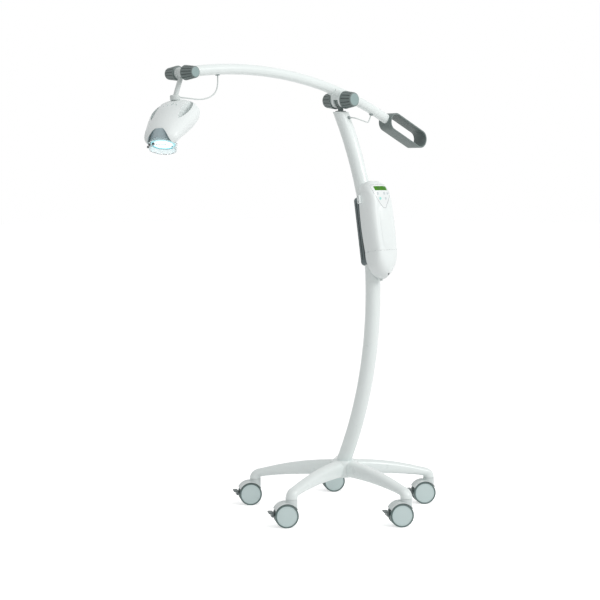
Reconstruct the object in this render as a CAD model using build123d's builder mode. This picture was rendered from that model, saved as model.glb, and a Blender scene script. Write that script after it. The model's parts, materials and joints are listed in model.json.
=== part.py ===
from build123d import *
import os
from math import asin, atan2, cos, degrees, hypot, pi, radians, sin, sqrt, tan

os.makedirs("parts", exist_ok=True)

# Sizes are in millimetres and angles in degrees.
# The origin lies on the floor under the foot of the mast and +Z points up.
# The control unit faces -Y, the lamp hangs towards -X and the pull handle points to +X.

# Clearances and shared values
running_gap = 0.1
seat_gap = 0.2
overrun = 5.0

# Casters
wheel_diameter = 75.0
wheel_width = 19.0
wheel_gap = 12.0
wheel_edge_radius = 3.0
wheel_dish_diameter = 60.0
wheel_dish_depth = 1.5
wheel_hub_diameter = 20.0
axle_diameter = 8.0
caster_trail = 18.0
caster_heading = 145.7
stem_diameter = 11.0
stem_grip_length = 30.0
stem_socket_depth = 14.5
swivel_gap = 0.6
stem_collar_diameter = 37.0
hood_gap = 1.8
hood_wall = 2.2
hood_start = 28.0
hood_end = 150.0
web_thickness = 10.0
web_radius = 31.0
pedal_pin_diameter = 4.0
pedal_pin_reach = 27.0
pedal_pin_rise = 8.0
pedal_cheek = 2.0
pedal_web_thickness = 5.0
pedal_width = 30.0
pedal_inner_reach = 41.2
pedal_depth = 6.0
pedal_low = -3.0
pedal_high = 13.0
pedal_lip = 9.0
pedal_lip_height = 5.0
pedal_cheek_share = 0.55
pedal_web_share = 0.67

# Star base
leg_count = 5
caster_circle_radius = 307.0
leg_turn = -6.35
hub_top = 166.0
hub_bottom = 113.0
hub_diameter = 92.0
hub_ring_diameter = 66.0
hub_ring_height = 4.0
hub_shoulder_drop = 9.0
hub_floor = 27.0
elbow_diameter = 38.4
elbow_bottom = 88.0
leg_corner_radius = 13.0
leg_corner_growth_share = 0.32
leg_corner_limit_share = 0.494
hub_shoulder_reach_share = 0.62
hub_shoulder_drop_share = 0.15

# Mast
mast_diameter = 48.0
mast_wall = 2.5
mast_bend_radius = 1254.0
mast_top = 1305.5
mast_top_reach = 18.6
mast_seat_depth = 24.0
mast_end_plate = 10.0
top_plug_length = 44.0
foot_bolt_diameter = 10.0
foot_bolt_head_diameter = 17.0
foot_bolt_head_height = 6.5
foot_washer_diameter = 30.0
foot_washer_thickness = 2.5

# Swivel post on the mast
pivot_height = 1343.6
swivel_neck_diameter = 18.0
swivel_neck_depth = 26.0
swivel_flange_diameter = 34.0
swivel_flange_height = 3.0
tongue_thickness = 20.0
tongue_diameter = 38.0
pivot_bolt_diameter = 10.0

# Boom
boom_diameter = 32.0
boom_wall = 2.0
boom_bend_radius = 1546.9
boom_apex_x = -404.0
boom_apex_z = 1420.4
boom_left_x = -646.0
boom_right_x = 215.0
saddle_cheek_diameter = 50.0
saddle_width = 42.6
saddle_length = 84.0
saddle_wall = 4.0

# Clamp knobs of the boom pivot
pivot_knob_length = 41.4
pivot_knob_inner_diameter = 58.0
pivot_knob_outer_diameter = 46.6
pivot_knob_edge = 5.0
knob_flute_count = 14
knob_flute_diameter = 7.0
knob_flute_bite = 0.9

# Clamp knobs of the head tilt
tilt_axis_x = -669.0
tilt_knob_length = 45.0
tilt_knob_inner_diameter = 45.0
tilt_knob_outer_diameter = 35.0
tilt_knob_edge = 4.0
tilt_width = 33.0
tilt_tongue_thickness = 16.0
tilt_eye_diameter = 30.0
tilt_cheek_diameter = 34.0
tilt_bolt_diameter = 8.0
tilt_plug_length = 30.0

# Loop handle
loop_length = 195.0
loop_height = 60.0
loop_width = 55.0
loop_wall = 5.0
loop_edge_radius = 2.0
loop_spigot_length = 30.0

# Hanger of the lamp head
neck_x = -697.0
neck_z = 1324.0
hanger_stem_diameter = 14.5
neck_collar_diameter = 29.0
neck_collar_height = 15.0
neck_collar_edge = 2.0
neck_pin_diameter = 12.0
neck_pin_length = 10.0
neck_pin_flange_diameter = 22.0
neck_pin_flange_height = 4.0

# Lamp head, in the frame of its pod: x forwards along the pod, z out of its upper side
head_turn = 28.0
head_roll = 4.0
pod_pitch = 25.0
pod_length = 230.0
pod_width = 142.0
pod_height = 90.0
pod_wall = 2.8
pod_drop = -4.0
core_width = 74.0
parting_drop = 47.0
port_lean = 45.0
port_reach = 159.0
port_drop = 76.0
port_collar_diameter = 76.0
port_collar_wall = 2.5
port_collar_length = 36.0
port_clearance = 0.4
lens_thickness = 4.0
lens_ledge = 1.5
guide_ring_diameter = 82.0
guide_ring_wall = 2.4
guide_ring_length = 20.0
guide_ring_overlap = 6.0
guide_mouth_diameter = 72.0
guide_clip_count = 3
guide_clip_width = 6.0
guide_clip_height = 5.0
guide_clip_depth = 4.0
guide_clip_pitch = 22.0
guide_clip_start = -60.0
arch_width = 78.0
arch_rise = 54.0
indicator_diameter = 4.0
indicator_pitch = 13.4
indicator_row_reach = 44.0
indicator_single_reach = 33.0
indicator_depth = 6.0
lamp_board_diameter = 50.0
lamp_board_thickness = 9.0
board_fin_share = 0.68
reflector_wall = 1.5
reflector_throat = 40.0
fan_size = 50.0
fan_thickness = 15.0
fan_reach = 40.0
fan_blades = 7
fan_post_diameter = 6.0
fan_post_pitch = 40.0
fan_opening_share = 0.45
fan_hub_share = 0.17
fan_blade_reach_share = 0.30
fan_blade_share = 0.32
fan_rotor_share = 0.7

# Control unit, in a frame on the mast: x across, y up along the mast, z out of its front
unit_height = 920.5
unit_width = 112.0
unit_length = 315.0
unit_rear = 18.0
unit_crown = 77.5
unit_wall = 2.6
unit_parting = 33.0
unit_seam = -69.0
unit_floor = 27.5
keypad_skin = 1.2
keypad_top = 142.0
keypad_length = 77.0
keypad_width = 74.0
display_width = 56.0
display_height = 14.0
display_rise = 129.0
display_skin = 2.0
key_diameter = 8.0
key_proud = 0.9
key_travel = 0.8
key_gap = 0.15
key_foot = 56.0
key_flange_diameter = 11.0
key_flange_thickness = 1.5
key_spots = [(-21.0, 112.0), (9.0, 112.0), (25.0, 112.0), (-13.0, 95.5), (12.0, 95.5)]
cover_screw_diameter = 7.0
cover_screw_rise = -144.0
cover_screw_slot = 1.4
cover_screw_level = 60.5
cover_screw_head = 3.5
cover_screw_shank = 4.0
cover_screw_grip = 3.0
cover_boss_diameter = 11.0
clamp_width = 58.0
clamp_back = 33.0
clamp_length = 221.0
clamp_centre = 3.0
clamp_corner = 14.0
clamp_groove_count = 5
clamp_groove_width = 2.4
clamp_groove_depth = 1.4
inlet_diameter = 11.0
inlet_length = 5.0
inlet_depth = 11.0
inlet_reach = 27.0
hook_rise = 100.0
hook_length = 27.0
hook_reach = 7.0
hook_slot = 3.0
board_width = 80.0
board_length = 150.0
board_thickness = 1.6
board_reach = 50.0
supply_width = 58.0
supply_length = 90.0
supply_height = 20.0
supply_rise = -85.0
board_rise = 45.0
standoff_diameter = 6.0
standoff_spread_share = 0.84

# Cables and their grommets
cable_diameter = 4.0
grommet_diameter = 9.0
grommet_flange_diameter = 13.0
grommet_flange_height = 2.5
mast_cable_height = 1286.0
mast_gland_diameter = 10.0
mast_gland_reach = 31.0
pivot_cable_x = 151.0
head_cable_x = -532.0
head_cable_run = 28.0
head_cable_bends = [(-541.0, 1341.5), (-573.0, 1326.0), (-611.0, 1322.0), (-645.0, 1325.0)]
mast_cable_run = 17.0
pivot_cable_bends = [
    (17.5, -50.0, 1280.0),
    (50.0, -42.0, 1274.5),
    (82.0, -22.0, 1273.5),
    (110.0, 3.0, 1274.5),
]
pivot_cable_run = 24.0
corner_run_share = 0.45
neck_boss_diameter = 8.0
neck_boss_reach = 18.0
neck_boss_z = 1325.5


# Star base: the cast five-legged star with curved elbows
# Each station of a leg is a share of its reach, then a share of the hub's height, the lean of its
# section, and shares of the elbow's diameter for its width and its depth.
leg_station_shares = [
    (0.05, 0.849, 0.0, 1.20, 1.30),
    (0.36, 0.843, 4.0, 1.12, 1.13),
    (0.66, 0.789, 11.0, 1.055, 0.91),
    (0.873, 0.729, 24.0, 1.015, 0.765),
    (0.971, 0.675, 58.0, 1.005, 0.90),
    (1.0, 0.596, 90.0, 1.0, 1.0),
]
hub_radius = hub_diameter / 2
elbow_radius = elbow_diameter / 2
stem_radius = stem_diameter / 2

# The mast is an arc in the YZ plane between its foot and its top.
mast_radius = mast_diameter / 2
mast_rise = mast_top - hub_top
mast_chord = hypot(mast_rise, mast_top_reach)
mast_chord_lean = atan2(mast_top_reach, mast_rise)
mast_chord_drop = sqrt(mast_bend_radius**2 - (mast_chord / 2) ** 2)
mast_centre_y = mast_top_reach / 2 + mast_chord_drop * cos(mast_chord_lean)
mast_centre_z = (hub_top + mast_top) / 2 - mast_chord_drop * sin(mast_chord_lean)
mast_axis = Axis((0, mast_centre_y, mast_centre_z), (-1, 0, 0))


def mast_y(height):
    """Y of the mast's centreline at a height."""
    return mast_centre_y - sqrt(mast_bend_radius**2 - (height - mast_centre_z) ** 2)


def mast_lean(height):
    """Degrees that the mast leans from upright, positive where its top leans to +Y."""
    return degrees(asin((height - mast_centre_z) / mast_bend_radius))


def mast_plane(height):
    """Section plane of the mast, its normal running up the tube."""
    lean = radians(mast_lean(height))
    return Plane(origin=(0, mast_y(height), height), x_dir=(1, 0, 0), z_dir=(0, sin(lean), cos(lean)))


mast_foot = hub_top - mast_seat_depth
mast_start = mast_foot - mast_radius
mast_sweep = mast_lean(mast_top + mast_radius) - mast_lean(mast_start)

with BuildPart() as mast_blank:
    with BuildSketch(mast_plane(mast_start)):
        Circle(mast_radius + running_gap)
    revolve(axis=mast_axis, revolution_arc=mast_sweep)
    split(bisect_by=Plane.XY.offset(mast_foot), keep=Keep.TOP)

with BuildPart() as leg:
    for reach, rise, lean, width, depth in leg_station_shares:
        turn = radians(lean)
        corner = leg_corner_radius / (1 - leg_corner_growth_share * reach**3)
        station = Plane(
            origin=(caster_circle_radius * reach, 0, hub_top * rise),
            x_dir=(0, 1, 0),
            z_dir=(cos(turn), 0, -sin(turn)),
        )
        with BuildSketch(station):
            RectangleRounded(
                elbow_diameter * width,
                elbow_diameter * depth,
                min(corner, leg_corner_limit_share * elbow_diameter * min(width, depth)),
            )
    loft()
    with BuildSketch(Plane.XY.offset(elbow_bottom)):
        with Locations((caster_circle_radius, 0)):
            Circle(elbow_radius)
    extrude(amount=hub_top * leg_station_shares[-1][1] - elbow_bottom)

with BuildPart() as star_base:
    with BuildSketch(Plane.XZ):
        with BuildLine():
            Polyline(
                (0, hub_bottom),
                (hub_radius - hub_shoulder_drop / 2, hub_bottom),
                (hub_radius, hub_bottom + hub_shoulder_drop / 2),
                (hub_radius, hub_top - hub_shoulder_drop),
            )
            ThreePointArc(
                (hub_radius, hub_top - hub_shoulder_drop),
                (
                    hub_ring_diameter / 2 + (hub_radius - hub_ring_diameter / 2) * hub_shoulder_reach_share,
                    hub_top - hub_ring_height - hub_shoulder_drop * hub_shoulder_drop_share,
                ),
                (hub_ring_diameter / 2, hub_top - hub_ring_height),
            )
            Polyline(
                (hub_ring_diameter / 2, hub_top - hub_ring_height),
                (hub_ring_diameter / 2, hub_top),
                (0, hub_top),
                (0, hub_bottom),
            )
        make_face()
    revolve(axis=Axis.Z)
    with PolarLocations(0, leg_count, start_angle=leg_turn - 90):
        add(leg.part)
    add(mast_blank.part, mode=Mode.SUBTRACT)
    with BuildSketch(Plane.XY.offset(hub_bottom - overrun)):
        with Locations((0, mast_y(mast_foot))):
            Circle(foot_bolt_diameter / 2 + running_gap)
    extrude(amount=mast_foot - hub_bottom + 2 * overrun, mode=Mode.SUBTRACT)
    with BuildSketch(Plane.XY.offset(elbow_bottom - overrun)):
        with PolarLocations(caster_circle_radius, leg_count, start_angle=leg_turn - 90):
            Circle(stem_radius)
    extrude(amount=overrun + stem_grip_length, mode=Mode.SUBTRACT)
star_base.part.label = "star_base"
export_step(star_base.part, "parts/star_base.step")

# Bolt and washer that hold the mast's foot from under the hub
with BuildPart() as foot_bolt:
    with BuildSketch(Plane.XY.offset(hub_bottom - foot_washer_thickness)):
        with Locations((0, mast_y(mast_foot))):
            Circle(foot_washer_diameter / 2)
            Circle(foot_bolt_diameter / 2 + running_gap, mode=Mode.SUBTRACT)
    extrude(amount=foot_washer_thickness)
    with BuildSketch(Plane.XY.offset(hub_bottom - foot_washer_thickness - foot_bolt_head_height)):
        with Locations((0, mast_y(mast_foot))):
            RegularPolygon(foot_bolt_head_diameter / 2, 6)
    extrude(amount=foot_bolt_head_height)
    with BuildSketch(Plane.XY.offset(hub_bottom - foot_washer_thickness)):
        with Locations((0, mast_y(mast_foot))):
            Circle(foot_bolt_diameter / 2)
    extrude(amount=foot_washer_thickness + mast_foot - hub_bottom + mast_end_plate - seat_gap)
foot_bolt.part.label = "foot_bolt"
export_step(foot_bolt.part, "parts/foot_bolt.step")

# Mast: a bent tube, cut level at both ends, with a thick plate welded in its foot
with BuildPart() as mast_bore:
    with BuildSketch(mast_plane(mast_start)):
        Circle(mast_radius - mast_wall)
    revolve(axis=mast_axis, revolution_arc=mast_sweep)
    split(bisect_by=Plane.XY.offset(mast_foot + mast_end_plate), keep=Keep.TOP)

with BuildPart() as mast_tube:
    with BuildSketch(mast_plane(mast_start)):
        Circle(mast_radius)
    revolve(axis=mast_axis, revolution_arc=mast_sweep)
    split(bisect_by=Plane.XY.offset(mast_foot), keep=Keep.TOP)
    split(bisect_by=Plane.XY.offset(mast_top), keep=Keep.BOTTOM)
    add(mast_bore.part, mode=Mode.SUBTRACT)
    with BuildSketch(Plane.XY.offset(mast_foot - overrun)):
        with Locations((0, mast_y(mast_foot))):
            Circle(foot_bolt_diameter / 2)
    extrude(amount=mast_end_plate + 2 * overrun, mode=Mode.SUBTRACT)
    mast_cable_plane = Plane(
        origin=(0, mast_y(mast_cable_height), mast_cable_height), x_dir=(1, 0, 0), z_dir=(0, -1, 0)
    )
    with BuildSketch(mast_cable_plane):
        Circle(grommet_diameter / 2)
    extrude(amount=mast_diameter, mode=Mode.SUBTRACT)
mast_tube.part.label = "mast_tube"
export_step(mast_tube.part, "parts/mast_tube.step")

# Plug in the mast's top, with the upright bearing bore of the swivel post
with BuildPart() as mast_top_plug:
    with BuildSketch(mast_plane(mast_top - top_plug_length)):
        Circle(mast_radius - mast_wall)
    plug_arc = mast_lean(mast_top + mast_radius) - mast_lean(mast_top - top_plug_length)
    revolve(axis=mast_axis, revolution_arc=plug_arc)
    split(bisect_by=Plane.XY.offset(mast_top), keep=Keep.BOTTOM)
    with BuildSketch(Plane.XY.offset(mast_top)):
        with Locations((0, mast_top_reach)):
            Circle(swivel_neck_diameter / 2 + running_gap)
    extrude(amount=-swivel_neck_depth, mode=Mode.SUBTRACT)
mast_top_plug.part.label = "mast_top_plug"
export_step(mast_top_plug.part, "parts/mast_top_plug.step")

# Swivel post: neck, flange and the grey tongue that carries the pivot
pivot_plane = Plane(origin=(0, mast_top_reach, pivot_height), x_dir=(1, 0, 0), z_dir=(0, -1, 0))
with BuildPart() as swivel_post:
    with BuildSketch(Plane.XY.offset(mast_top - swivel_neck_depth + seat_gap)):
        with Locations((0, mast_top_reach)):
            Circle(swivel_neck_diameter / 2)
    extrude(amount=pivot_height - mast_top + swivel_neck_depth - tongue_diameter / 3)
    with BuildSketch(Plane.XY.offset(mast_top + seat_gap)):
        with Locations((0, mast_top_reach)):
            Circle(swivel_flange_diameter / 2)
    extrude(amount=swivel_flange_height)
    with BuildSketch(pivot_plane):
        Circle(tongue_diameter / 2)
        with Locations((0, -tongue_diameter / 4)):
            Rectangle(tongue_thickness, tongue_diameter / 2)
    extrude(amount=tongue_thickness / 2, both=True)
    with BuildSketch(pivot_plane):
        Circle(pivot_bolt_diameter / 2 + running_gap)
    extrude(amount=tongue_thickness, both=True, mode=Mode.SUBTRACT)
swivel_post.part.label = "swivel_post"
export_step(swivel_post.part, "parts/swivel_post.step")

# The boom is an arc in the plane of the swivel axis. Its angle is counted from its apex.
boom_radius = boom_diameter / 2
boom_centre_z = boom_apex_z - boom_bend_radius
boom_axis = Axis((boom_apex_x, mast_top_reach, boom_centre_z), (0, 1, 0))


def boom_z(x):
    """Height of the boom's centreline at an x."""
    return boom_centre_z + sqrt(boom_bend_radius**2 - (x - boom_apex_x) ** 2)


def boom_slope(x):
    """Degrees that the boom falls towards +X at an x."""
    return degrees(asin((x - boom_apex_x) / boom_bend_radius))


def boom_plane(x):
    """Section plane of the boom, its normal along the tube to +X and its x upwards."""
    fall = radians(boom_slope(x))
    return Plane(
        origin=(x, mast_top_reach, boom_z(x)),
        x_dir=(sin(fall), 0, cos(fall)),
        z_dir=(cos(fall), 0, -sin(fall)),
    )


def drill_plane(x):
    """Plane through the boom's centreline at an x, its normal out of the underside."""
    section = boom_plane(x)
    return Plane(origin=section.origin, x_dir=(0, 1, 0), z_dir=-section.x_dir)


# Loop handle: a wide band bent into a stadium, with a spigot that goes into the boom
loop_frame = boom_plane(boom_right_x)
loop_plane = Plane(
    origin=loop_frame.origin, x_dir=loop_frame.z_dir, z_dir=(0, -1, 0)
)
loop_bend = loop_height / 2
loop_straight = loop_length - loop_height
with BuildPart() as loop_envelope:
    with BuildSketch(loop_plane):
        with Locations((loop_length / 2, 0)):
            SlotOverall(loop_length, loop_height)
    extrude(amount=loop_width / 2, both=True)

with BuildPart() as loop_handle:
    with BuildSketch(loop_plane):
        with Locations((loop_length / 2, 0)):
            SlotOverall(loop_length, loop_height)
            SlotOverall(loop_length - 2 * loop_wall, loop_height - 2 * loop_wall, mode=Mode.SUBTRACT)
    extrude(amount=loop_width / 2, both=True)
    loop_sides = loop_handle.faces().filter_by(Axis.Y)
    chamfer(loop_sides.edges(), loop_edge_radius / 2)
    with BuildSketch(boom_plane(boom_right_x - loop_spigot_length)):
        Circle(boom_radius - boom_wall)
    spigot_arc = boom_slope(boom_right_x) - boom_slope(boom_right_x - loop_spigot_length)
    revolve(axis=boom_axis, revolution_arc=spigot_arc)
    with BuildSketch(loop_frame):
        Circle(boom_radius - boom_wall)
    extrude(amount=loop_wall)
loop_handle.part.label = "loop_handle"
export_step(loop_handle.part, "parts/loop_handle.step")

# Boom: a bent tube, notched underneath where the tongue turns and coped to the loop handle
boom_end_x = boom_right_x + loop_height / 2
boom_arc = boom_slope(boom_end_x) - boom_slope(boom_left_x)
pivot_notch_radius = tongue_diameter / 2 + 2 * seat_gap
with BuildPart() as boom_tube:
    with BuildSketch(boom_plane(boom_left_x)):
        Circle(boom_radius)
        Circle(boom_radius - boom_wall, mode=Mode.SUBTRACT)
    revolve(axis=boom_axis, revolution_arc=boom_arc)
    add(loop_envelope.part, mode=Mode.SUBTRACT)
    boom_end = Plane(origin=loop_plane.from_local_coords((loop_height / 2, 0)), z_dir=loop_frame.z_dir)
    split(bisect_by=boom_end, keep=Keep.BOTTOM)
    with BuildSketch(pivot_plane):
        Circle(pivot_notch_radius)
    extrude(amount=tongue_thickness / 2 + seat_gap, both=True, mode=Mode.SUBTRACT)
    for cable_x in (head_cable_x, pivot_cable_x):
        with BuildSketch(drill_plane(cable_x)):
            Circle(grommet_diameter / 2)
        extrude(amount=boom_diameter, mode=Mode.SUBTRACT)
boom_tube.part.label = "boom_tube"
export_step(boom_tube.part, "parts/boom_tube.step")

# Saddle under the boom: a half shell round the tube and two cheeks beside the tongue
with BuildPart() as saddle_cradle:
    with BuildSketch(boom_plane(-saddle_length / 2)):
        Circle(boom_radius + saddle_wall)
    saddle_arc = boom_slope(saddle_length / 2) - boom_slope(-saddle_length / 2)
    revolve(axis=boom_axis, revolution_arc=saddle_arc)
    split(bisect_by=Plane(origin=boom_plane(0).origin, z_dir=boom_plane(0).x_dir), keep=Keep.BOTTOM)

with BuildPart() as boom_solid:
    with BuildSketch(boom_plane(-saddle_length)):
        Circle(boom_radius)
    revolve(axis=boom_axis, revolution_arc=boom_slope(saddle_length) - boom_slope(-saddle_length))

with BuildPart() as boom_saddle:
    with BuildSketch(pivot_plane):
        Circle(saddle_cheek_diameter / 2)
        with BuildLine():
            Polyline(
                (-saddle_cheek_diameter / 2, 0),
                (saddle_cheek_diameter / 2, 0),
                (saddle_cheek_diameter / 2, boom_z(saddle_cheek_diameter / 2) - pivot_height),
                (-saddle_cheek_diameter / 2, boom_z(-saddle_cheek_diameter / 2) - pivot_height),
                close=True,
            )
        make_face()
    extrude(amount=saddle_width / 2, both=True)
    add(saddle_cradle.part)
    add(boom_solid.part, mode=Mode.SUBTRACT)
    with BuildSketch(pivot_plane):
        Circle(pivot_notch_radius)
        with Locations((0, -saddle_cheek_diameter / 2)):
            Rectangle(2 * saddle_cheek_diameter, saddle_cheek_diameter)
    extrude(amount=tongue_thickness / 2 + seat_gap, both=True, mode=Mode.SUBTRACT)
    with BuildSketch(pivot_plane):
        Circle(pivot_bolt_diameter / 2)
    extrude(amount=saddle_width, both=True, mode=Mode.SUBTRACT)
boom_saddle.part.label = "boom_saddle"
export_step(boom_saddle.part, "parts/boom_saddle.step")

# Clevis in the boom's left end, between whose cheeks the hanger's eye turns
tilt_z = boom_z(tilt_axis_x)
tilt_plane = Plane(origin=(tilt_axis_x, mast_top_reach, tilt_z), x_dir=(1, 0, 0), z_dir=(0, -1, 0))
clevis_slot_radius = tilt_eye_diameter / 2 + 2 * seat_gap
clevis_end = boom_plane(boom_left_x)
with BuildPart() as tilt_clevis:
    with BuildSketch(clevis_end):
        Circle(boom_radius - boom_wall)
    clevis_arc = boom_slope(boom_left_x + tilt_plug_length) - boom_slope(boom_left_x)
    revolve(axis=boom_axis, revolution_arc=clevis_arc)
    with BuildSketch(Plane(origin=clevis_end.origin, x_dir=clevis_end.x_dir, z_dir=-clevis_end.z_dir)):
        Circle(boom_radius)
    extrude(amount=boom_left_x - tilt_axis_x)
    with BuildSketch(tilt_plane):
        Circle(tilt_cheek_diameter / 2)
    extrude(amount=tilt_width / 2, both=True)
    with BuildSketch(tilt_plane):
        Circle(clevis_slot_radius)
        with Locations((-tilt_cheek_diameter / 2, 0)):
            Rectangle(tilt_cheek_diameter, 2 * tilt_cheek_diameter)
        with Locations((0, -tilt_cheek_diameter / 2)):
            Rectangle(2 * clevis_slot_radius, tilt_cheek_diameter)
    extrude(amount=tilt_tongue_thickness / 2 + seat_gap, both=True, mode=Mode.SUBTRACT)
    with BuildSketch(tilt_plane):
        Circle(tilt_bolt_diameter / 2)
    extrude(amount=tilt_width, both=True, mode=Mode.SUBTRACT)
tilt_clevis.part.label = "tilt_clevis"
export_step(tilt_clevis.part, "parts/tilt_clevis.step")

# Bolts of the boom pivot and of the head tilt
with BuildPart() as joint_bolts:
    with BuildSketch(pivot_plane):
        Circle(pivot_bolt_diameter / 2)
    extrude(amount=saddle_width / 2 + pivot_knob_length / 2, both=True)
    with BuildSketch(tilt_plane):
        Circle(tilt_bolt_diameter / 2)
    extrude(amount=tilt_width / 2 + tilt_knob_length / 2, both=True)
joint_bolts.part.label = "joint_bolts"
export_step(joint_bolts.part, "parts/joint_bolts.step")


def clamp_knob(face, length, inner, outer, edge, bolt):
    """Tapered fluted knob that stands on a plane, bored half through for its bolt."""
    inner_radius = inner / 2
    outer_radius = outer / 2
    taper = degrees(atan2(inner_radius - outer_radius, length))
    flute_reach = (inner_radius + outer_radius + knob_flute_diameter) / 2 - knob_flute_bite
    side = Plane(origin=face.origin, x_dir=face.x_dir, z_dir=-face.y_dir)
    with BuildPart() as knob:
        with BuildSketch(side):
            with BuildLine():
                Polyline((0, 0), (inner_radius, 0), (outer_radius, length - edge))
                ThreePointArc(
                    (outer_radius, length - edge),
                    (outer_radius - edge * (1 - cos(pi / 4)), length - edge * (1 - sin(pi / 4))),
                    (outer_radius - edge, length),
                )
                Polyline((outer_radius - edge, length), (0, length), (0, 0))
            make_face()
        revolve(axis=Axis(face.origin, face.z_dir))
        with Locations(face):
            with PolarLocations(flute_reach, knob_flute_count):
                Cylinder(
                    knob_flute_diameter / 2,
                    length + 2 * overrun,
                    rotation=(0, -taper, 0),
                    align=(Align.CENTER, Align.CENTER, Align.MIN),
                    mode=Mode.SUBTRACT,
                )
        with BuildSketch(face):
            Circle(bolt / 2 + running_gap)
        extrude(amount=length / 2 + seat_gap, mode=Mode.SUBTRACT)
    return knob.part


def knob_face(plane, width, side):
    """Plane that a knob stands on, beside a joint that is width wide. Side is -1 or 1 along Y."""
    origin = plane.origin + Vector(0, side * (width / 2 + seat_gap), 0)
    return Plane(origin=origin, x_dir=(1, 0, 0), z_dir=(0, side, 0))


for knob_name, side in (("near", -1), ("far", 1)):
    pivot_knob = clamp_knob(
        knob_face(pivot_plane, saddle_width, side),
        pivot_knob_length,
        pivot_knob_inner_diameter,
        pivot_knob_outer_diameter,
        pivot_knob_edge,
        pivot_bolt_diameter,
    )
    pivot_knob.label = f"pivot_knob_{knob_name}"
    export_step(pivot_knob, f"parts/pivot_knob_{knob_name}.step")
    tilt_knob = clamp_knob(
        knob_face(tilt_plane, tilt_width, side),
        tilt_knob_length,
        tilt_knob_inner_diameter,
        tilt_knob_outer_diameter,
        tilt_knob_edge,
        tilt_bolt_diameter,
    )
    tilt_knob.label = f"tilt_knob_{knob_name}"
    export_step(tilt_knob, f"parts/tilt_knob_{knob_name}.step")


# Casters
wheel_radius = wheel_diameter / 2
axle_radius = axle_diameter / 2
hood_radius = wheel_radius + hood_gap
hood_outer = hood_radius + hood_wall
wheel_inner = wheel_gap / 2
wheel_outer = wheel_inner + wheel_width
collar_top = elbow_bottom - swivel_gap
heading = Vector(cos(radians(caster_heading)), sin(radians(caster_heading)), 0)


def stem_spot(number):
    """X and Y of a caster's stem."""
    turn = radians(leg_turn - 90 + 360 / leg_count * number)
    return (caster_circle_radius * cos(turn), caster_circle_radius * sin(turn))


def wheel_plane(number):
    """Middle plane of a caster's wheels, its x towards the pedal and its normal along the axle."""
    origin = Vector(*stem_spot(number)) + heading * caster_trail + Vector(0, 0, wheel_radius)
    return Plane(origin=origin, x_dir=heading, z_dir=heading.cross(Vector(0, 0, 1)))


def caster_housing(number):
    """Web between the wheels, hood over them and collar round the stem."""
    middle = wheel_plane(number)
    with BuildPart() as housing:
        for inner_radius, reach in ((axle_diameter, web_thickness / 2), (hood_radius, wheel_outer)):
            with BuildSketch(middle):
                with BuildLine():
                    inside = CenterArc((0, 0), inner_radius, hood_start, hood_end - hood_start)
                    outside = CenterArc((0, 0), hood_outer, hood_start, hood_end - hood_start)
                    Line(inside @ 0, outside @ 0)
                    Line(inside @ 1, outside @ 1)
                make_face()
            extrude(amount=reach, both=True)
        with BuildSketch(middle):
            Circle(web_radius)
            with Locations((-caster_trail, wheel_radius / 2)):
                Rectangle(stem_collar_diameter - 2 * hood_gap, wheel_radius)
        extrude(amount=web_thickness / 2, both=True)
        with BuildSketch(Plane.XY.offset(collar_top)):
            with Locations(stem_spot(number)):
                Circle(stem_collar_diameter / 2)
        extrude(amount=wheel_radius - collar_top)
        for side in (-1, 1):
            with BuildSketch(middle.offset(side * web_thickness / 2)):
                Circle(hood_radius)
            extrude(amount=side * wheel_width * 2, mode=Mode.SUBTRACT)
            with BuildSketch(middle.offset(side * pedal_web_thickness / 2)):
                with Locations((pedal_pin_reach, pedal_pin_rise)):
                    Circle(pedal_depth + pedal_cheek)
                with Locations((pedal_pin_reach + web_radius / 2, 0)):
                    Rectangle(web_radius, 2 * pedal_high + pedal_cheek)
            extrude(amount=side * web_thickness, mode=Mode.SUBTRACT)
        with BuildSketch(middle):
            with Locations((pedal_pin_reach, pedal_pin_rise)):
                Circle(pedal_pin_diameter / 2)
        extrude(amount=pedal_web_thickness / 2 + pedal_cheek, both=True)
        with BuildSketch(middle):
            Circle(axle_radius + running_gap / 2)
        extrude(amount=web_thickness, both=True, mode=Mode.SUBTRACT)
        with BuildSketch(Plane.XY.offset(collar_top)):
            with Locations(stem_spot(number)):
                Circle(stem_radius + running_gap)
        extrude(amount=-stem_socket_depth, mode=Mode.SUBTRACT)
    return housing.part


def caster_wheels(number):
    """Two dished wheels and the axle between them."""
    middle = wheel_plane(number)
    side_plane = Plane(origin=middle.origin, x_dir=middle.x_dir, z_dir=-middle.y_dir)
    dish_radius = wheel_dish_diameter / 2
    with BuildPart() as wheels:
        with BuildSketch(side_plane):
            with BuildLine():
                Polyline(
                    (0, wheel_outer - wheel_dish_depth),
                    (dish_radius - wheel_dish_depth, wheel_outer - wheel_dish_depth),
                    (dish_radius, wheel_outer),
                    (wheel_radius - wheel_edge_radius, wheel_outer),
                    (wheel_radius, wheel_outer - wheel_edge_radius),
                    (wheel_radius, wheel_inner + wheel_edge_radius),
                    (wheel_radius - wheel_edge_radius, wheel_inner),
                    (axle_radius + running_gap / 2, wheel_inner),
                    (axle_radius + running_gap / 2, wheel_outer - wheel_edge_radius - seat_gap),
                    (0, wheel_outer - wheel_edge_radius - seat_gap),
                    close=True,
                )
            make_face()
            mirror(about=Plane.XZ)
        revolve(axis=Axis(middle.origin, middle.z_dir))
        with BuildSketch(middle):
            Circle(axle_radius)
        extrude(amount=wheel_outer - wheel_edge_radius - 2 * seat_gap, both=True)
    return wheels.part


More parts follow.
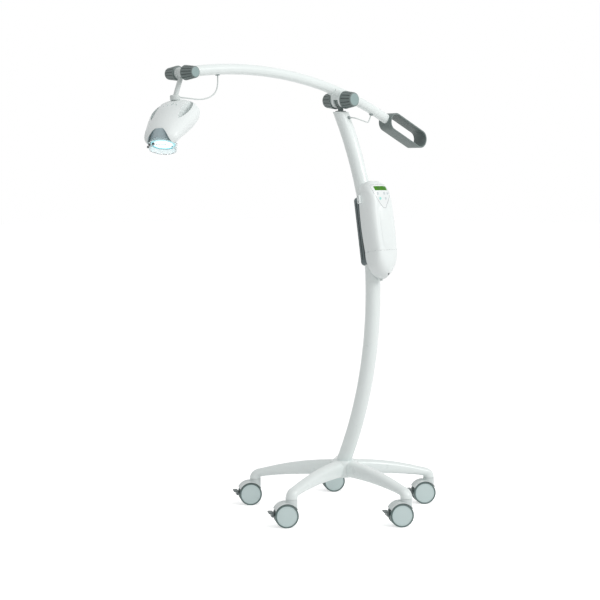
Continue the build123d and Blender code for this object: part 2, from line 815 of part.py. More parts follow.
def brake_pedal(number):
    """Pedal with two cheeks on the housing's pin, a pad behind the wheels and a turned-up lip."""
    middle = wheel_plane(number)
    cheek_outer = pedal_web_thickness / 2 + seat_gap + pedal_cheek
    pad_reach = pedal_inner_reach + pedal_depth
    with BuildPart() as pedal:
        with BuildSketch(middle):
            with Locations((pedal_pin_reach, pedal_pin_rise)):
                Circle(pedal_depth - seat_gap)
            with Locations(((pedal_pin_reach + pedal_inner_reach) / 2, (pedal_low + pedal_high) / 2)):
                Rectangle(pedal_inner_reach - pedal_pin_reach, (pedal_high - pedal_low) * pedal_cheek_share)
        extrude(amount=cheek_outer, both=True)
        with BuildSketch(middle):
            with Locations((pedal_inner_reach + pedal_depth / 2, (pedal_low + pedal_high) / 2)):
                Rectangle(pedal_depth, pedal_high - pedal_low)
            with Locations((pad_reach + pedal_lip / 2, pedal_high - pedal_lip_height / 2)):
                Rectangle(pedal_lip, pedal_lip_height)
        extrude(amount=pedal_width / 2, both=True)
        pad_edges = pedal.edges().filter_by(lambda edge: abs(edge.length - pedal_width) < seat_gap / 2)
        fillet(pad_edges, pedal_lip_height / 4)
        with BuildSketch(middle):
            Circle(web_radius + pedal_lip_height * pedal_web_share)
        extrude(amount=pedal_web_thickness / 2 + seat_gap, both=True, mode=Mode.SUBTRACT)
        with BuildSketch(middle):
            with Locations((pedal_pin_reach, pedal_pin_rise)):
                Circle(pedal_pin_diameter / 2 + running_gap)
        extrude(amount=pedal_width, both=True, mode=Mode.SUBTRACT)
    return pedal.part


with BuildPart() as caster_stems:
    with BuildSketch(Plane.XY.offset(collar_top - stem_socket_depth + seat_gap)):
        with Locations(*[stem_spot(number) for number in range(leg_count)]):
            Circle(stem_radius)
    extrude(amount=elbow_bottom + stem_grip_length - collar_top + stem_socket_depth - 2 * seat_gap)
caster_stems.part.label = "caster_stems"
export_step(caster_stems.part, "parts/caster_stems.step")

for number in range(leg_count):
    caster_pieces = (
        ("housing", caster_housing(number)),
        ("wheels", caster_wheels(number)),
        ("pedal", brake_pedal(number)),
    )
    for piece_name, piece in caster_pieces:
        piece.label = f"caster_{number + 1}_{piece_name}"
        export_step(piece, f"parts/caster_{number + 1}_{piece_name}.step")

# Hanger: eye at the tilt joint, leaning stem, upright neck collar and the pin inside the head
neck_top = neck_z + neck_collar_height / 2
neck_bottom = neck_z - neck_collar_height / 2
stem_run = Vector(neck_x - tilt_axis_x, 0, neck_z - tilt_z)
with BuildPart() as hanger_stem:
    with BuildSketch(tilt_plane):
        Circle(tilt_eye_diameter / 2)
    extrude(amount=tilt_tongue_thickness / 2, both=True)
    with BuildSketch(Plane(origin=tilt_plane.origin, x_dir=(0, 1, 0), z_dir=stem_run)):
        Circle(hanger_stem_diameter / 2)
    extrude(amount=stem_run.length)
    with BuildSketch(Plane.XY.offset(neck_bottom)):
        with Locations((neck_x, mast_top_reach)):
            Circle(neck_collar_diameter / 2)
    extrude(amount=neck_collar_height)
    level_rims = hanger_stem.faces().filter_by(Plane.XY).edges().filter_by(GeomType.CIRCLE)
    neck_rims = level_rims.filter_by(lambda rim: abs(rim.radius - neck_collar_diameter / 2) < seat_gap)
    chamfer(neck_rims, neck_collar_edge)
    with BuildSketch(Plane(origin=(neck_x, mast_top_reach, neck_boss_z), x_dir=(0, 1, 0), z_dir=(1, 0, 0))):
        Circle(neck_boss_diameter / 2)
    extrude(amount=neck_boss_reach)
    with BuildSketch(Plane.XY.offset(neck_bottom)):
        with Locations((neck_x, mast_top_reach)):
            Circle(neck_pin_diameter / 2)
    extrude(amount=-neck_pin_length)
    with BuildSketch(Plane.XY.offset(neck_bottom - neck_pin_length)):
        with Locations((neck_x, mast_top_reach)):
            Circle(neck_pin_flange_diameter / 2)
    extrude(amount=neck_pin_flange_height)
    with BuildSketch(tilt_plane):
        Circle(tilt_bolt_diameter / 2 + running_gap)
    extrude(amount=tilt_width, both=True, mode=Mode.SUBTRACT)
hanger_stem.part.label = "hanger_stem"
export_step(hanger_stem.part, "parts/hanger_stem.step")

# Lamp head. The head's frame stands under the neck collar, turned and rolled from the boom's plane.
# The pod's frame is pitched down from it.
head_forward = Vector(-cos(radians(head_turn)), -sin(radians(head_turn)), 0)
head_side = Vector(0, 0, 1).cross(head_forward)
head_up = Vector(0, 0, 1) * cos(radians(head_roll)) - head_side * sin(radians(head_roll))
pod_forward = head_forward * cos(radians(pod_pitch)) - head_up * sin(radians(pod_pitch))
pod_up = head_forward * sin(radians(pod_pitch)) + head_up * cos(radians(pod_pitch))
pod = Plane(
    origin=Vector(neck_x, mast_top_reach, neck_bottom - seat_gap) - pod_up * pod_drop,
    x_dir=pod_forward,
    z_dir=pod_up,
)
# Each station of the pod: shares of its length, half width and half height, then of its height
# for its middle.
pod_station_shares = [
    (-0.185, 0.24, 0.25, 0.52),
    (-0.155, 0.58, 0.58, 0.52),
    (-0.065, 0.89, 0.86, 0.51),
    (0.09, 1.0, 1.0, 0.50),
    (0.27, 0.98, 0.98, 0.51),
    (0.44, 0.88, 0.87, 0.53),
    (0.61, 0.79, 0.74, 0.56),
    (0.74, 0.66, 0.56, 0.60),
    (0.805, 0.42, 0.34, 0.62),
    (0.825, 0.20, 0.15, 0.63),
]
core_station_shares = [
    (-0.10, 0.60, 0.55, 0.51),
    (0.0, 0.92, 0.88, 0.50),
    (0.18, 1.0, 0.93, 0.50),
    (0.40, 1.0, 0.85, 0.53),
    (0.60, 1.0, 0.62, 0.56),
    (0.70, 0.86, 0.42, 0.60),
]

# Opening between the core and a side strap: its rear, outer side, front, inner side and inner rear
# corner, as shares of the pod's length and of the core's width.
opening_spot_shares = [(-0.05, 0.68), (0.16, 0.80), (0.46, 0.56), (0.16, 0.50), (-0.04, 0.57)]


def pod_loft(stations, half_width, half_height):
    """Rounded body through ellipses that stand across the pod."""
    with BuildPart() as body:
        for reach, wide, high, middle in stations:
            spot = pod.from_local_coords((pod_length * reach, 0, -pod_height * middle))
            with BuildSketch(Plane(origin=spot, x_dir=pod.y_dir, z_dir=pod.x_dir)):
                Ellipse(half_width * wide, half_height * high)
        loft()
    return body.part


def pod_level(drop):
    """Plane across the pod's height, a drop below its top."""
    return pod.offset(-drop)


# The light port leans forwards from the pod's depth. Its frame stands in its mouth, z into the head.
port_turn = radians(port_lean)
port = Plane(
    origin=pod.from_local_coords((port_reach, 0, -port_drop)),
    x_dir=pod.x_dir * cos(port_turn) + pod.z_dir * sin(port_turn),
    z_dir=pod.z_dir * cos(port_turn) - pod.x_dir * sin(port_turn),
)


pod_envelope = pod_loft(pod_station_shares, pod_width / 2, pod_height / 2)
pod_cavity = pod_loft(core_station_shares, core_width / 2 - pod_wall, pod_height / 2 - pod_wall)
collar_radius = port_collar_diameter / 2
guide_inner = collar_radius + port_clearance

with BuildPart() as head_body:
    add(pod_envelope)
    for side in (-1, 1):
        with BuildSketch(pod_level(parting_drop)):
            rear, outer, front, inner, corner = [
                (pod_length * along, side * core_width * across) for along, across in opening_spot_shares
            ]
            with BuildLine():
                ThreePointArc(rear, outer, front)
                ThreePointArc(front, inner, corner)
                Line(corner, rear)
            make_face()
        extrude(amount=pod_height, both=True, mode=Mode.SUBTRACT)
    with BuildSketch(port.offset(port_collar_length)):
        Circle(collar_radius + seat_gap)
    extrude(amount=-pod_height, mode=Mode.SUBTRACT)
    with BuildSketch(port.offset(guide_ring_overlap + port_clearance)):
        Circle(guide_inner + guide_ring_wall + port_clearance)
    extrude(amount=-pod_height, mode=Mode.SUBTRACT)
    with BuildSketch(Plane(origin=port.origin, x_dir=pod.y_dir, z_dir=pod.x_dir)):
        Ellipse(arch_width / 2, arch_rise)
    extrude(amount=pod_length, mode=Mode.SUBTRACT)
    with BuildSketch(Plane.XY.offset(neck_bottom)):
        with Locations((neck_x, mast_top_reach)):
            Circle(neck_pin_diameter / 2 + running_gap)
    extrude(amount=-neck_pin_length, mode=Mode.SUBTRACT)
    with BuildSketch(Plane.XY.offset(neck_bottom - seat_gap)):
        with Locations((neck_x, mast_top_reach)):
            Circle(neck_collar_diameter / 2 + port_clearance)
    extrude(amount=neck_collar_height, mode=Mode.SUBTRACT)

indicator_spots = [(indicator_row_reach, indicator_pitch * (place - 1.5)) for place in range(4)]
indicator_spots.append((indicator_single_reach, indicator_pitch / 2))

with BuildPart() as head_hollow:
    add(pod_cavity)
    with BuildSketch(pod_level(parting_drop + fan_thickness / 2 + seat_gap)):
        with Locations((fan_reach, 0)):
            with GridLocations(fan_post_pitch, fan_post_pitch, 2, 2):
                Circle(fan_post_diameter / 2)
    extrude(amount=-pod_height, mode=Mode.SUBTRACT)
    with BuildSketch(Plane.XY.offset(neck_bottom - neck_pin_length - seat_gap)):
        with Locations((neck_x, mast_top_reach)):
            Circle(neck_pin_flange_diameter / 2 + running_gap)
    extrude(amount=neck_pin_flange_height + 2 * seat_gap)
    with BuildSketch(port.offset(port_collar_length - seat_gap)):
        Circle(lamp_board_diameter / 2 + port_clearance)
    extrude(amount=lamp_board_thickness + 2 * seat_gap)

for shell_name, kept in (("upper", Keep.TOP), ("lower", Keep.BOTTOM)):
    with BuildPart() as head_shell:
        add(head_body.part)
        add(head_hollow.part, mode=Mode.SUBTRACT)
        with BuildSketch(pod_level(0)):
            with Locations(*indicator_spots):
                Circle(indicator_diameter / 2 + running_gap)
        extrude(amount=indicator_depth * 3, both=True, mode=Mode.SUBTRACT)
        split(bisect_by=pod_level(parting_drop), keep=kept)
    head_shell.part.label = f"head_{shell_name}_shell"
    export_step(head_shell.part, f"parts/head_{shell_name}_shell.step")

# Five indicator lights, flush with the upper shell
with BuildPart() as indicator_lights:
    with BuildSketch(pod_level(0)):
        with Locations(*indicator_spots):
            Circle(indicator_diameter / 2)
    extrude(amount=indicator_depth * 3, both=True)
    add(pod_envelope, mode=Mode.INTERSECT)
    add(pod_cavity, mode=Mode.SUBTRACT)
indicator_lights.part.label = "indicator_lights"
export_step(indicator_lights.part, "parts/indicator_lights.step")

# Light port: collar, lens, clear guide ring with its clips, reflector and lamp board
lens_radius = collar_radius - port_collar_wall - seat_gap
with BuildPart() as port_collar:
    with BuildSketch(port):
        Circle(collar_radius)
        Circle(collar_radius - port_collar_wall, mode=Mode.SUBTRACT)
    extrude(amount=port_collar_length - seat_gap)
    with BuildSketch(port.offset(lens_thickness + seat_gap)):
        Circle(collar_radius)
        Circle(collar_radius - port_collar_wall - lens_ledge, mode=Mode.SUBTRACT)
    extrude(amount=lens_ledge)
port_collar.part.label = "port_collar"
export_step(port_collar.part, "parts/port_collar.step")

with BuildPart() as port_lens:
    with BuildSketch(port):
        Circle(lens_radius)
    extrude(amount=lens_thickness)
    chamfer(port_lens.faces().sort_by(Axis(port.origin, port.z_dir))[0].edges(), lens_thickness / 4)
port_lens.part.label = "port_lens"
export_step(port_lens.part, "parts/port_lens.step")

reflector_start = lens_thickness + lens_ledge + 2 * seat_gap


def reflector_cone(inset):
    """Cone between the lens and the lamp board, drawn in by an inset."""
    mouths = ((reflector_start, lens_radius), (port_collar_length - seat_gap, reflector_throat / 2))
    with BuildPart() as cone:
        for depth, mouth in mouths:
            with BuildSketch(port.offset(depth)):
                Circle(mouth - inset)
        loft()
    return cone.part


with BuildPart() as reflector:
    add(reflector_cone(0))
    add(reflector_cone(reflector_wall), mode=Mode.SUBTRACT)
reflector.part.label = "reflector"
export_step(reflector.part, "parts/reflector.step")

with BuildPart() as lamp_board:
    with BuildSketch(port.offset(port_collar_length)):
        Circle(lamp_board_diameter / 2)
    extrude(amount=lamp_board_thickness / 3)
    with BuildSketch(port.offset(port_collar_length)):
        with GridLocations(lamp_board_diameter / 6, lamp_board_diameter, 5, 1):
            Rectangle(lamp_board_diameter / 24, lamp_board_diameter * board_fin_share)
    extrude(amount=lamp_board_thickness)
lamp_board.part.label = "lamp_board"
export_step(lamp_board.part, "parts/lamp_board.step")

with BuildPart() as guide_ring:
    with BuildSketch(port.offset(guide_ring_overlap - guide_ring_length)):
        Circle(guide_inner + guide_ring_wall)
        Circle(guide_inner, mode=Mode.SUBTRACT)
    extrude(amount=guide_ring_length)
    with BuildSketch(port.offset(guide_ring_overlap - guide_ring_length)):
        Circle(guide_inner + guide_ring_wall / 2)
        Circle(guide_mouth_diameter / 2, mode=Mode.SUBTRACT)
    extrude(amount=guide_ring_length - guide_ring_overlap - running_gap)
guide_ring.part.label = "light_guide_ring"
export_step(guide_ring.part, "parts/light_guide_ring.step")

with BuildPart() as guide_clips:
    with BuildSketch(port.offset(guide_ring_overlap - guide_ring_length - seat_gap)):
        with PolarLocations(
            guide_inner + guide_ring_wall + guide_clip_depth / 2 + seat_gap,
            guide_clip_count,
            start_angle=guide_clip_start,
            angular_range=guide_clip_pitch * guide_clip_count,
        ):
            Rectangle(guide_clip_depth, guide_clip_width)
    extrude(amount=guide_clip_height)
guide_clips.part.label = "guide_clips"
export_step(guide_clips.part, "parts/guide_clips.step")

# Fan in the head
with BuildPart() as cooling_fan:
    with BuildSketch(pod_level(parting_drop + fan_thickness / 2)):
        with Locations((fan_reach, 0)):
            RectangleRounded(fan_size, fan_size, fan_size / 12)
            Circle(fan_size * fan_opening_share, mode=Mode.SUBTRACT)
    extrude(amount=fan_thickness)
    with BuildSketch(pod_level(parting_drop + fan_thickness / 2)):
        with Locations((fan_reach, 0)):
            Circle(fan_size * fan_hub_share)
            with PolarLocations(fan_size * fan_blade_reach_share, fan_blades):
                Rectangle(fan_size * fan_blade_share, fan_size / 20)
    extrude(amount=fan_thickness * fan_rotor_share)
cooling_fan.part.label = "cooling_fan"
export_step(cooling_fan.part, "parts/cooling_fan.step")

# Control unit on the mast
unit_lean = radians(mast_lean(unit_height))
unit_origin = (0, mast_y(unit_height), unit_height)
unit = Plane(origin=unit_origin, x_dir=(1, 0, 0), z_dir=(0, -cos(unit_lean), sin(unit_lean)))
# Half outline of the unit as shares of its half width and of its length, from its top down one side.
unit_outline_shares = [
    (0.0, 0.498),
    (0.59, 0.473),
    (0.893, 0.381),
    (1.0, 0.095),
    (0.911, -0.222),
    (0.643, -0.416),
    (0.0, -0.502),
]
# Levels of the unit's front as shares of its depth and of its outline.
unit_level_shares = [(0.0, 0.985), (0.37, 1.0), (0.64, 0.955), (0.84, 0.86), (0.96, 0.68), (1.0, 0.44)]
# Outline of the keypad as shares of its half width and of its length, from its top down one side.
keypad_outline_shares = [
    (0.0, 0.0),
    (0.5, -0.012),
    (0.96, -0.055),
    (0.90, -0.45),
    (0.24, -0.95),
    (0.0, -1.0),
]


def unit_loft(inset):
    """Body of the unit, drawn in by an inset from its sides, its front and its back."""
    depth = unit_crown - unit_rear - 2 * inset
    half = unit_width / 2 - inset
    length = unit_length - 2 * inset
    with BuildPart() as body:
        for level, share in unit_level_shares:
            points = [(half * share * across, length * share * up) for across, up in unit_outline_shares]
            with BuildSketch(unit.offset(unit_rear + inset + depth * level)):
                with BuildLine():
                    ThreePointArc(points[0], points[1], points[2])
                    ThreePointArc(points[2], points[3], points[4])
                    ThreePointArc(points[4], points[5], points[6])
                    mirror(about=Plane.YZ)
                make_face()
        loft()
    return body.part


unit_solid = unit_loft(0)
unit_hollow = unit_loft(unit_wall)


def keypad_prism(grow):
    """Shield-shaped prism through the unit's front, grown by a clearance."""
    half = keypad_width / 2 + grow
    length = keypad_length + 2 * grow
    points = [
        (half * across, keypad_top + grow + length * along) for across, along in keypad_outline_shares
    ]
    with BuildPart() as prism:
        with BuildSketch(unit.offset(unit_parting)):
            with BuildLine():
                ThreePointArc(points[0], points[1], points[2])
                ThreePointArc(points[2], points[3], points[4])
                Line(points[4], points[5])
                mirror(about=Plane.YZ)
            make_face()
        extrude(amount=unit_crown)
    return prism.part


def display_prism(grow):
    """Rounded bar through the unit's front, grown by a clearance."""
    with BuildPart() as prism:
        with BuildSketch(unit.offset(unit_parting)):
            with Locations((0, display_rise)):
                RectangleRounded(display_width + 2 * grow, display_height + 2 * grow, display_height / 7)
        extrude(amount=unit_crown)
    return prism.part


with BuildPart() as unit_cavity:
    add(unit_hollow)
    split(bisect_by=unit.offset(unit_floor), keep=Keep.TOP)

inlet_foot = unit.from_local_coords((0, -unit_length / 2 - inlet_length, inlet_reach))
inlet_plane = Plane(origin=inlet_foot, x_dir=unit.x_dir, z_dir=unit.y_dir)
hook_spot = unit.from_local_coords((-unit_width / 2, hook_rise, (unit_rear + unit_parting) / 2))
hook_plane = Plane(origin=hook_spot, x_dir=unit.y_dir, z_dir=-unit.x_dir)

screw_spot = unit.from_local_coords((0, cover_screw_rise, unit_floor))
screw_plane = Plane(origin=screw_spot, x_dir=unit.x_dir, z_dir=unit.z_dir)
screw_top = cover_screw_level - unit_floor

# Rear shell, hollowed in front of the mast, with a cable hook on its left side
with BuildPart() as unit_rear_shell:
    add(unit_solid)
    split(bisect_by=unit.offset(unit_parting), keep=Keep.BOTTOM)
    with BuildSketch(hook_plane.offset(-hook_reach)):
        RectangleRounded(hook_length, unit_parting - unit_rear - 2 * hook_slot, hook_slot)
        with Locations((-hook_length / 4, 0), (hook_length / 4, 0)):
            RectangleRounded(hook_length / 3, hook_slot, hook_slot / 3, mode=Mode.SUBTRACT)
    extrude(amount=2 * hook_reach)
    add(unit_cavity.part, mode=Mode.SUBTRACT)
    add(mast_blank.part, mode=Mode.SUBTRACT)
    with BuildSketch(inlet_plane):
        Circle(inlet_diameter / 2)
    extrude(amount=inlet_length + inlet_depth, mode=Mode.SUBTRACT)
    with BuildSketch(screw_plane):
        Circle(cover_screw_shank / 2)
    extrude(amount=-cover_screw_grip, mode=Mode.SUBTRACT)
unit_rear_shell.part.label = "unit_rear_shell"
export_step(unit_rear_shell.part, "parts/unit_rear_shell.step")

with BuildPart() as power_inlet:
    with BuildSketch(inlet_plane):
        Circle(inlet_diameter / 2)
        Circle(inlet_diameter / 4, mode=Mode.SUBTRACT)
    extrude(amount=inlet_length + inlet_depth)
    with BuildSketch(inlet_plane.offset(inlet_length)):
        Circle(inlet_diameter / 4)
    extrude(amount=inlet_depth)
power_inlet.part.label = "power_inlet"
export_step(power_inlet.part, "parts/power_inlet.step")

with BuildPart() as unit_front:
    add(unit_solid)
    split(bisect_by=unit.offset(unit_parting), keep=Keep.TOP)
    add(unit_hollow, mode=Mode.SUBTRACT)

seam_spot = unit.from_local_coords((0, unit_seam, 0))
seam_plane = Plane(origin=seam_spot, x_dir=unit.x_dir, z_dir=unit.y_dir)

with BuildPart() as keypad_room:
    add(keypad_prism(seat_gap / 2))
    add(unit_loft(keypad_skin), mode=Mode.SUBTRACT)

with BuildPart() as unit_front_shell:
    add(unit_front.part)
    split(bisect_by=seam_plane.offset(seat_gap), keep=Keep.TOP)
    add(keypad_room.part, mode=Mode.SUBTRACT)
    add(display_prism(seat_gap / 2), mode=Mode.SUBTRACT)
    with BuildSketch(unit.offset(unit_parting)):
        with Locations(*key_spots):
            Circle(key_diameter / 2 + key_gap)
    extrude(amount=unit_crown, mode=Mode.SUBTRACT)
unit_front_shell.part.label = "unit_front_shell"
export_step(unit_front_shell.part, "parts/unit_front_shell.step")

# Lower cover, with a boss for its slotted screw
with BuildPart() as cover_boss:
    with BuildSketch(screw_plane.offset(unit_parting - unit_floor)):
        Circle(cover_boss_diameter / 2)
    extrude(amount=unit_crown)
    add(unit_solid, mode=Mode.INTERSECT)

with BuildPart() as unit_lower_cover:
    add(unit_front.part)
    split(bisect_by=seam_plane, keep=Keep.BOTTOM)
    add(cover_boss.part)
    with BuildSketch(screw_plane):
        Circle(cover_screw_shank / 2 + seat_gap)
    extrude(amount=unit_crown, mode=Mode.SUBTRACT)
    with BuildSketch(screw_plane.offset(screw_top - cover_screw_head)):
        Circle(cover_screw_diameter / 2 + seat_gap)
    extrude(amount=unit_crown, mode=Mode.SUBTRACT)
unit_lower_cover.part.label = "unit_lower_cover"
export_step(unit_lower_cover.part, "parts/unit_lower_cover.step")

with BuildPart() as cover_screw:
    with BuildSketch(screw_plane.offset(-cover_screw_grip)):
        Circle(cover_screw_shank / 2)
    extrude(amount=screw_top + cover_screw_grip - cover_screw_head)
    with BuildSketch(screw_plane.offset(screw_top - cover_screw_head)):
        Circle(cover_screw_diameter / 2)
    extrude(amount=cover_screw_head)
    with BuildSketch(screw_plane.offset(screw_top - cover_screw_head / 2)):
        Rectangle(cover_screw_slot, 2 * cover_screw_diameter)
    extrude(amount=cover_screw_head, mode=Mode.SUBTRACT)
cover_screw.part.label = "cover_screw"
export_step(cover_screw.part, "parts/cover_screw.step")

# Keypad, display window and the five keys
with BuildPart() as keypad_panel:
    add(keypad_prism(0))
    add(unit_solid, mode=Mode.INTERSECT)
    add(unit_loft(keypad_skin), mode=Mode.SUBTRACT)
    add(display_prism(seat_gap / 2), mode=Mode.SUBTRACT)
    with BuildSketch(unit.offset(unit_parting)):
        with Locations(*key_spots):
            Circle(key_diameter / 2 + key_gap)
    extrude(amount=unit_crown, mode=Mode.SUBTRACT)
keypad_panel.part.label = "keypad_panel"
export_step(keypad_panel.part, "parts/keypad_panel.step")

with BuildPart() as display_window:
    add(display_prism(0))
    add(unit_solid, mode=Mode.INTERSECT)
    add(unit_loft(unit_wall), mode=Mode.SUBTRACT)
display_window.part.label = "display_window"
export_step(display_window.part, "parts/display_window.step")

key_crown = unit_loft(-key_proud)
for number, key_spot in enumerate(key_spots):
    with BuildPart() as key:
        with BuildSketch(unit.offset(key_foot)):
            with Locations(key_spot):
                Circle(key_diameter / 2)
        extrude(amount=unit_crown)
        add(key_crown, mode=Mode.INTERSECT)
        with BuildSketch(unit.offset(key_foot)):
            with Locations(key_spot):
                Circle(key_flange_diameter / 2)
        extrude(amount=key_flange_thickness)
    key.part.label = f"key_{number + 1}"
    export_step(key.part, f"parts/key_{number + 1}.step")

# Grooved cover of the clamp behind the unit
with BuildPart() as clamp_cover:
    with BuildSketch(unit.offset(-clamp_back)):
        with Locations((0, clamp_centre)):
            Rectangle(clamp_width, clamp_length)
    extrude(amount=clamp_back + unit_rear)
    long_edges = clamp_cover.edges().filter_by(Axis(unit.origin, unit.y_dir))
    fillet(long_edges.group_by(Axis(unit.origin, unit.z_dir))[0], clamp_corner)
    add(mast_blank.part, mode=Mode.SUBTRACT)
    with BuildSketch(unit.offset(-clamp_back)):
        with Locations((0, clamp_centre)):
            with GridLocations(clamp_width / (clamp_groove_count + 2), clamp_length, clamp_groove_count, 1):
                Rectangle(clamp_groove_width, clamp_length)
    extrude(amount=clamp_groove_depth, mode=Mode.SUBTRACT)
clamp_cover.part.label = "clamp_cover"
export_step(clamp_cover.part, "parts/clamp_cover.step")

# Circuit board on four posts, with its raised keypad carrier, and the power supply under it
with BuildPart() as circuit_board:
    with BuildSketch(unit.offset(board_reach)):
        with Locations((0, board_rise)):
            RectangleRounded(board_width, board_length, standoff_diameter / 2)
    extrude(amount=board_thickness)
    with BuildSketch(unit.offset(board_reach)):
        with Locations((0, board_rise)):
            with GridLocations(board_width * standoff_spread_share, board_length * standoff_spread_share, 2, 2):
                Circle(standoff_diameter / 2)
    extrude(amount=unit_floor - board_reach)
    with BuildSketch(unit.offset(board_reach)):
        with Locations(*key_spots):
            Circle(key_diameter / 2)
    extrude(amount=key_foot - key_travel - seat_gap - board_reach)
circuit_board.part.label = "circuit_board"
export_step(circuit_board.part, "parts/circuit_board.step")

with BuildPart() as power_supply:
    with BuildSketch(unit.offset(unit_floor)):
        with Locations((0, supply_rise)):
            RectangleRounded(supply_width, supply_length, standoff_diameter / 2)
    extrude(amount=supply_height)
power_supply.part.label = "power_supply"
export_step(power_supply.part, "parts/power_supply.step")

# Cables with their glands
gland_plane = Plane(origin=(0, mast_y(mast_cable_height), mast_cable_height), x_dir=(1, 0, 0), z_dir=(0, -1, 0))
gland_span = 2 * mast_gland_diameter
gland_arc = mast_lean(mast_cable_height + gland_span) - mast_lean(mast_cable_height - gland_span)


def mast_rod(radius):
    """Short solid length of the mast's arc round its cable gland."""
    with BuildPart() as rod:
        with BuildSketch(mast_plane(mast_cable_height - gland_span)):
            Circle(radius)
        revolve(axis=mast_axis, revolution_arc=gland_arc)
    return rod.part


with BuildPart() as gland_plug:
    with BuildSketch(gland_plane):
        Circle(grommet_diameter / 2)
    extrude(amount=mast_gland_reach)
    add(mast_rod(mast_radius - mast_wall), mode=Mode.SUBTRACT)

with BuildPart() as mast_grommet:
    with BuildSketch(gland_plane):
        Circle(mast_gland_diameter / 2)
    extrude(amount=mast_gland_reach)
    add(mast_rod(mast_radius), mode=Mode.SUBTRACT)
    add(gland_plug.part)
mast_grommet.part.label = "mast_grommet"
export_step(mast_grommet.part, "parts/mast_grommet.step")

with BuildPart() as boom_rod:
    with BuildSketch(boom_plane(head_cable_x - gland_span)):
        Circle(boom_radius)
    revolve(
        axis=boom_axis,
        revolution_arc=boom_slope(pivot_cable_x + gland_span) - boom_slope(head_cable_x - gland_span),
    )

with BuildPart() as boom_grommets:
    for cable_x in (head_cable_x, pivot_cable_x):
        with BuildSketch(drill_plane(cable_x)):
            Circle(grommet_flange_diameter / 2)
        extrude(amount=boom_radius + grommet_flange_height)
    add(boom_rod.part, mode=Mode.SUBTRACT)
    for cable_x in (head_cable_x, pivot_cable_x):
        with BuildSketch(drill_plane(cable_x).offset(boom_radius - boom_wall)):
            Circle(grommet_diameter / 2)
        extrude(amount=boom_wall + grommet_flange_height / 2)
boom_grommets.part.label = "boom_grommets"
export_step(boom_grommets.part, "parts/boom_grommets.step")

# Each route runs from gland to gland; its ends leave the glands squarely.
boom_gland_reach = boom_radius + grommet_flange_height
head_start = drill_plane(head_cable_x).offset(boom_gland_reach)
pivot_end = drill_plane(pivot_cable_x).offset(boom_gland_reach)
mast_start_spot = gland_plane.offset(mast_gland_reach)
head_cable_route = [
    head_start.origin,
    head_start.offset(head_cable_run).origin,
    *[Vector(x, mast_top_reach, z) for x, z in head_cable_bends],
    Vector(neck_x + neck_boss_reach, mast_top_reach, neck_boss_z),
]
pivot_cable_route = [
    mast_start_spot.origin,
    mast_start_spot.offset(mast_cable_run).origin,
    *[Vector(*bend) for bend in pivot_cable_bends],
    pivot_end.offset(pivot_cable_run).origin,
    pivot_end.origin,
]


def corner_radii(route):
    """Radius of each corner of a route; its arc takes up a set share of the shorter run beside it."""
    radii = []
    for before, corner, after in zip(route, route[1:], route[2:]):
        arriving = corner - before
        leaving = after - corner
        half_turn = radians(arriving.get_angle(leaving)) / 2
        radii.append(corner_run_share * min(arriving.length, leaving.length) / tan(half_turn))
    return radii


def cable(route):
    """Round cable along a route of straight runs joined by arcs."""
    with BuildPart() as cord:
        with BuildLine() as path:
            FilletPolyline(*route, radius=corner_radii(route))
        with BuildSketch(Plane(origin=route[0], z_dir=route[1] - route[0])):
            Circle(cable_diameter / 2)
        sweep()
    return cord.part, path.wires()[0].length


for cable_name, route in (("head_cable", head_cable_route), ("boom_cable", pivot_cable_route)):
    cord, cord_length = cable(route)
    cord.label = cable_name
    export_step(cord, f"parts/{cable_name}.step")
    print(cable_name, "corner radii", [round(radius, 1) for radius in corner_radii(route)])
    volume_share = cord.volume / (cord_length * pi * (cable_diameter / 2) ** 2)
    print(cable_name, "length", round(cord_length, 1), "volume share", round(volume_share, 3))
    print(cable_name, "route", [tuple(round(value, 2) for value in tuple(point)) for point in route])
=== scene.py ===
import json
import math

import bmesh
import bpy
import numpy as np
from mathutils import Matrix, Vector
from mathutils.bvhtree import BVHTree

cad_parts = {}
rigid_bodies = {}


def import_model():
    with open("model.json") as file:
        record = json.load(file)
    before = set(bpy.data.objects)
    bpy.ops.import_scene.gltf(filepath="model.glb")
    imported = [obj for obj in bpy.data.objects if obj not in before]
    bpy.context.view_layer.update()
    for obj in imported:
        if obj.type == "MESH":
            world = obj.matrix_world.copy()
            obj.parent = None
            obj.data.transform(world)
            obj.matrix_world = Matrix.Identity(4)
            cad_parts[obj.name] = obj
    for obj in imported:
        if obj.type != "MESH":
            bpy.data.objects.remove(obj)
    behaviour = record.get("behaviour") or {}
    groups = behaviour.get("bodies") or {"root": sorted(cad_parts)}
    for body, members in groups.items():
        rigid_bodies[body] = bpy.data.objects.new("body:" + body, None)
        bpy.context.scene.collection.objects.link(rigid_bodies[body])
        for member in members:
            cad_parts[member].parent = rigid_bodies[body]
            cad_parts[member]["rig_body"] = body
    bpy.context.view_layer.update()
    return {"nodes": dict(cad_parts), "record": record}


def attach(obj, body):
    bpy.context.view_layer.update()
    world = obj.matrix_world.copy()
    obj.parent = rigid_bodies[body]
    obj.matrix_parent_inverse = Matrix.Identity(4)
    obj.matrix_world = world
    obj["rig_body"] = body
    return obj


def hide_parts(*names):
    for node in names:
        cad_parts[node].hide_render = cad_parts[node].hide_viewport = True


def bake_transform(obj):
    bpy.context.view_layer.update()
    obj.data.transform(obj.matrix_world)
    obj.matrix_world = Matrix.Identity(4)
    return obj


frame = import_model()
nodes = frame["nodes"]
scene = bpy.context.scene
print("frame loaded:", len(nodes), "nodes")


def placeObject(name, data):
    made = bpy.data.objects.new(name, data)
    scene.collection.objects.link(made)
    return made


# Camera at the photograph's viewing angle

photoView = {"place": (-3.546, -3.414, 1.075), "pitch": 85.57, "turn": -44.4, "lens": 90.5, "sensor": 36.0}

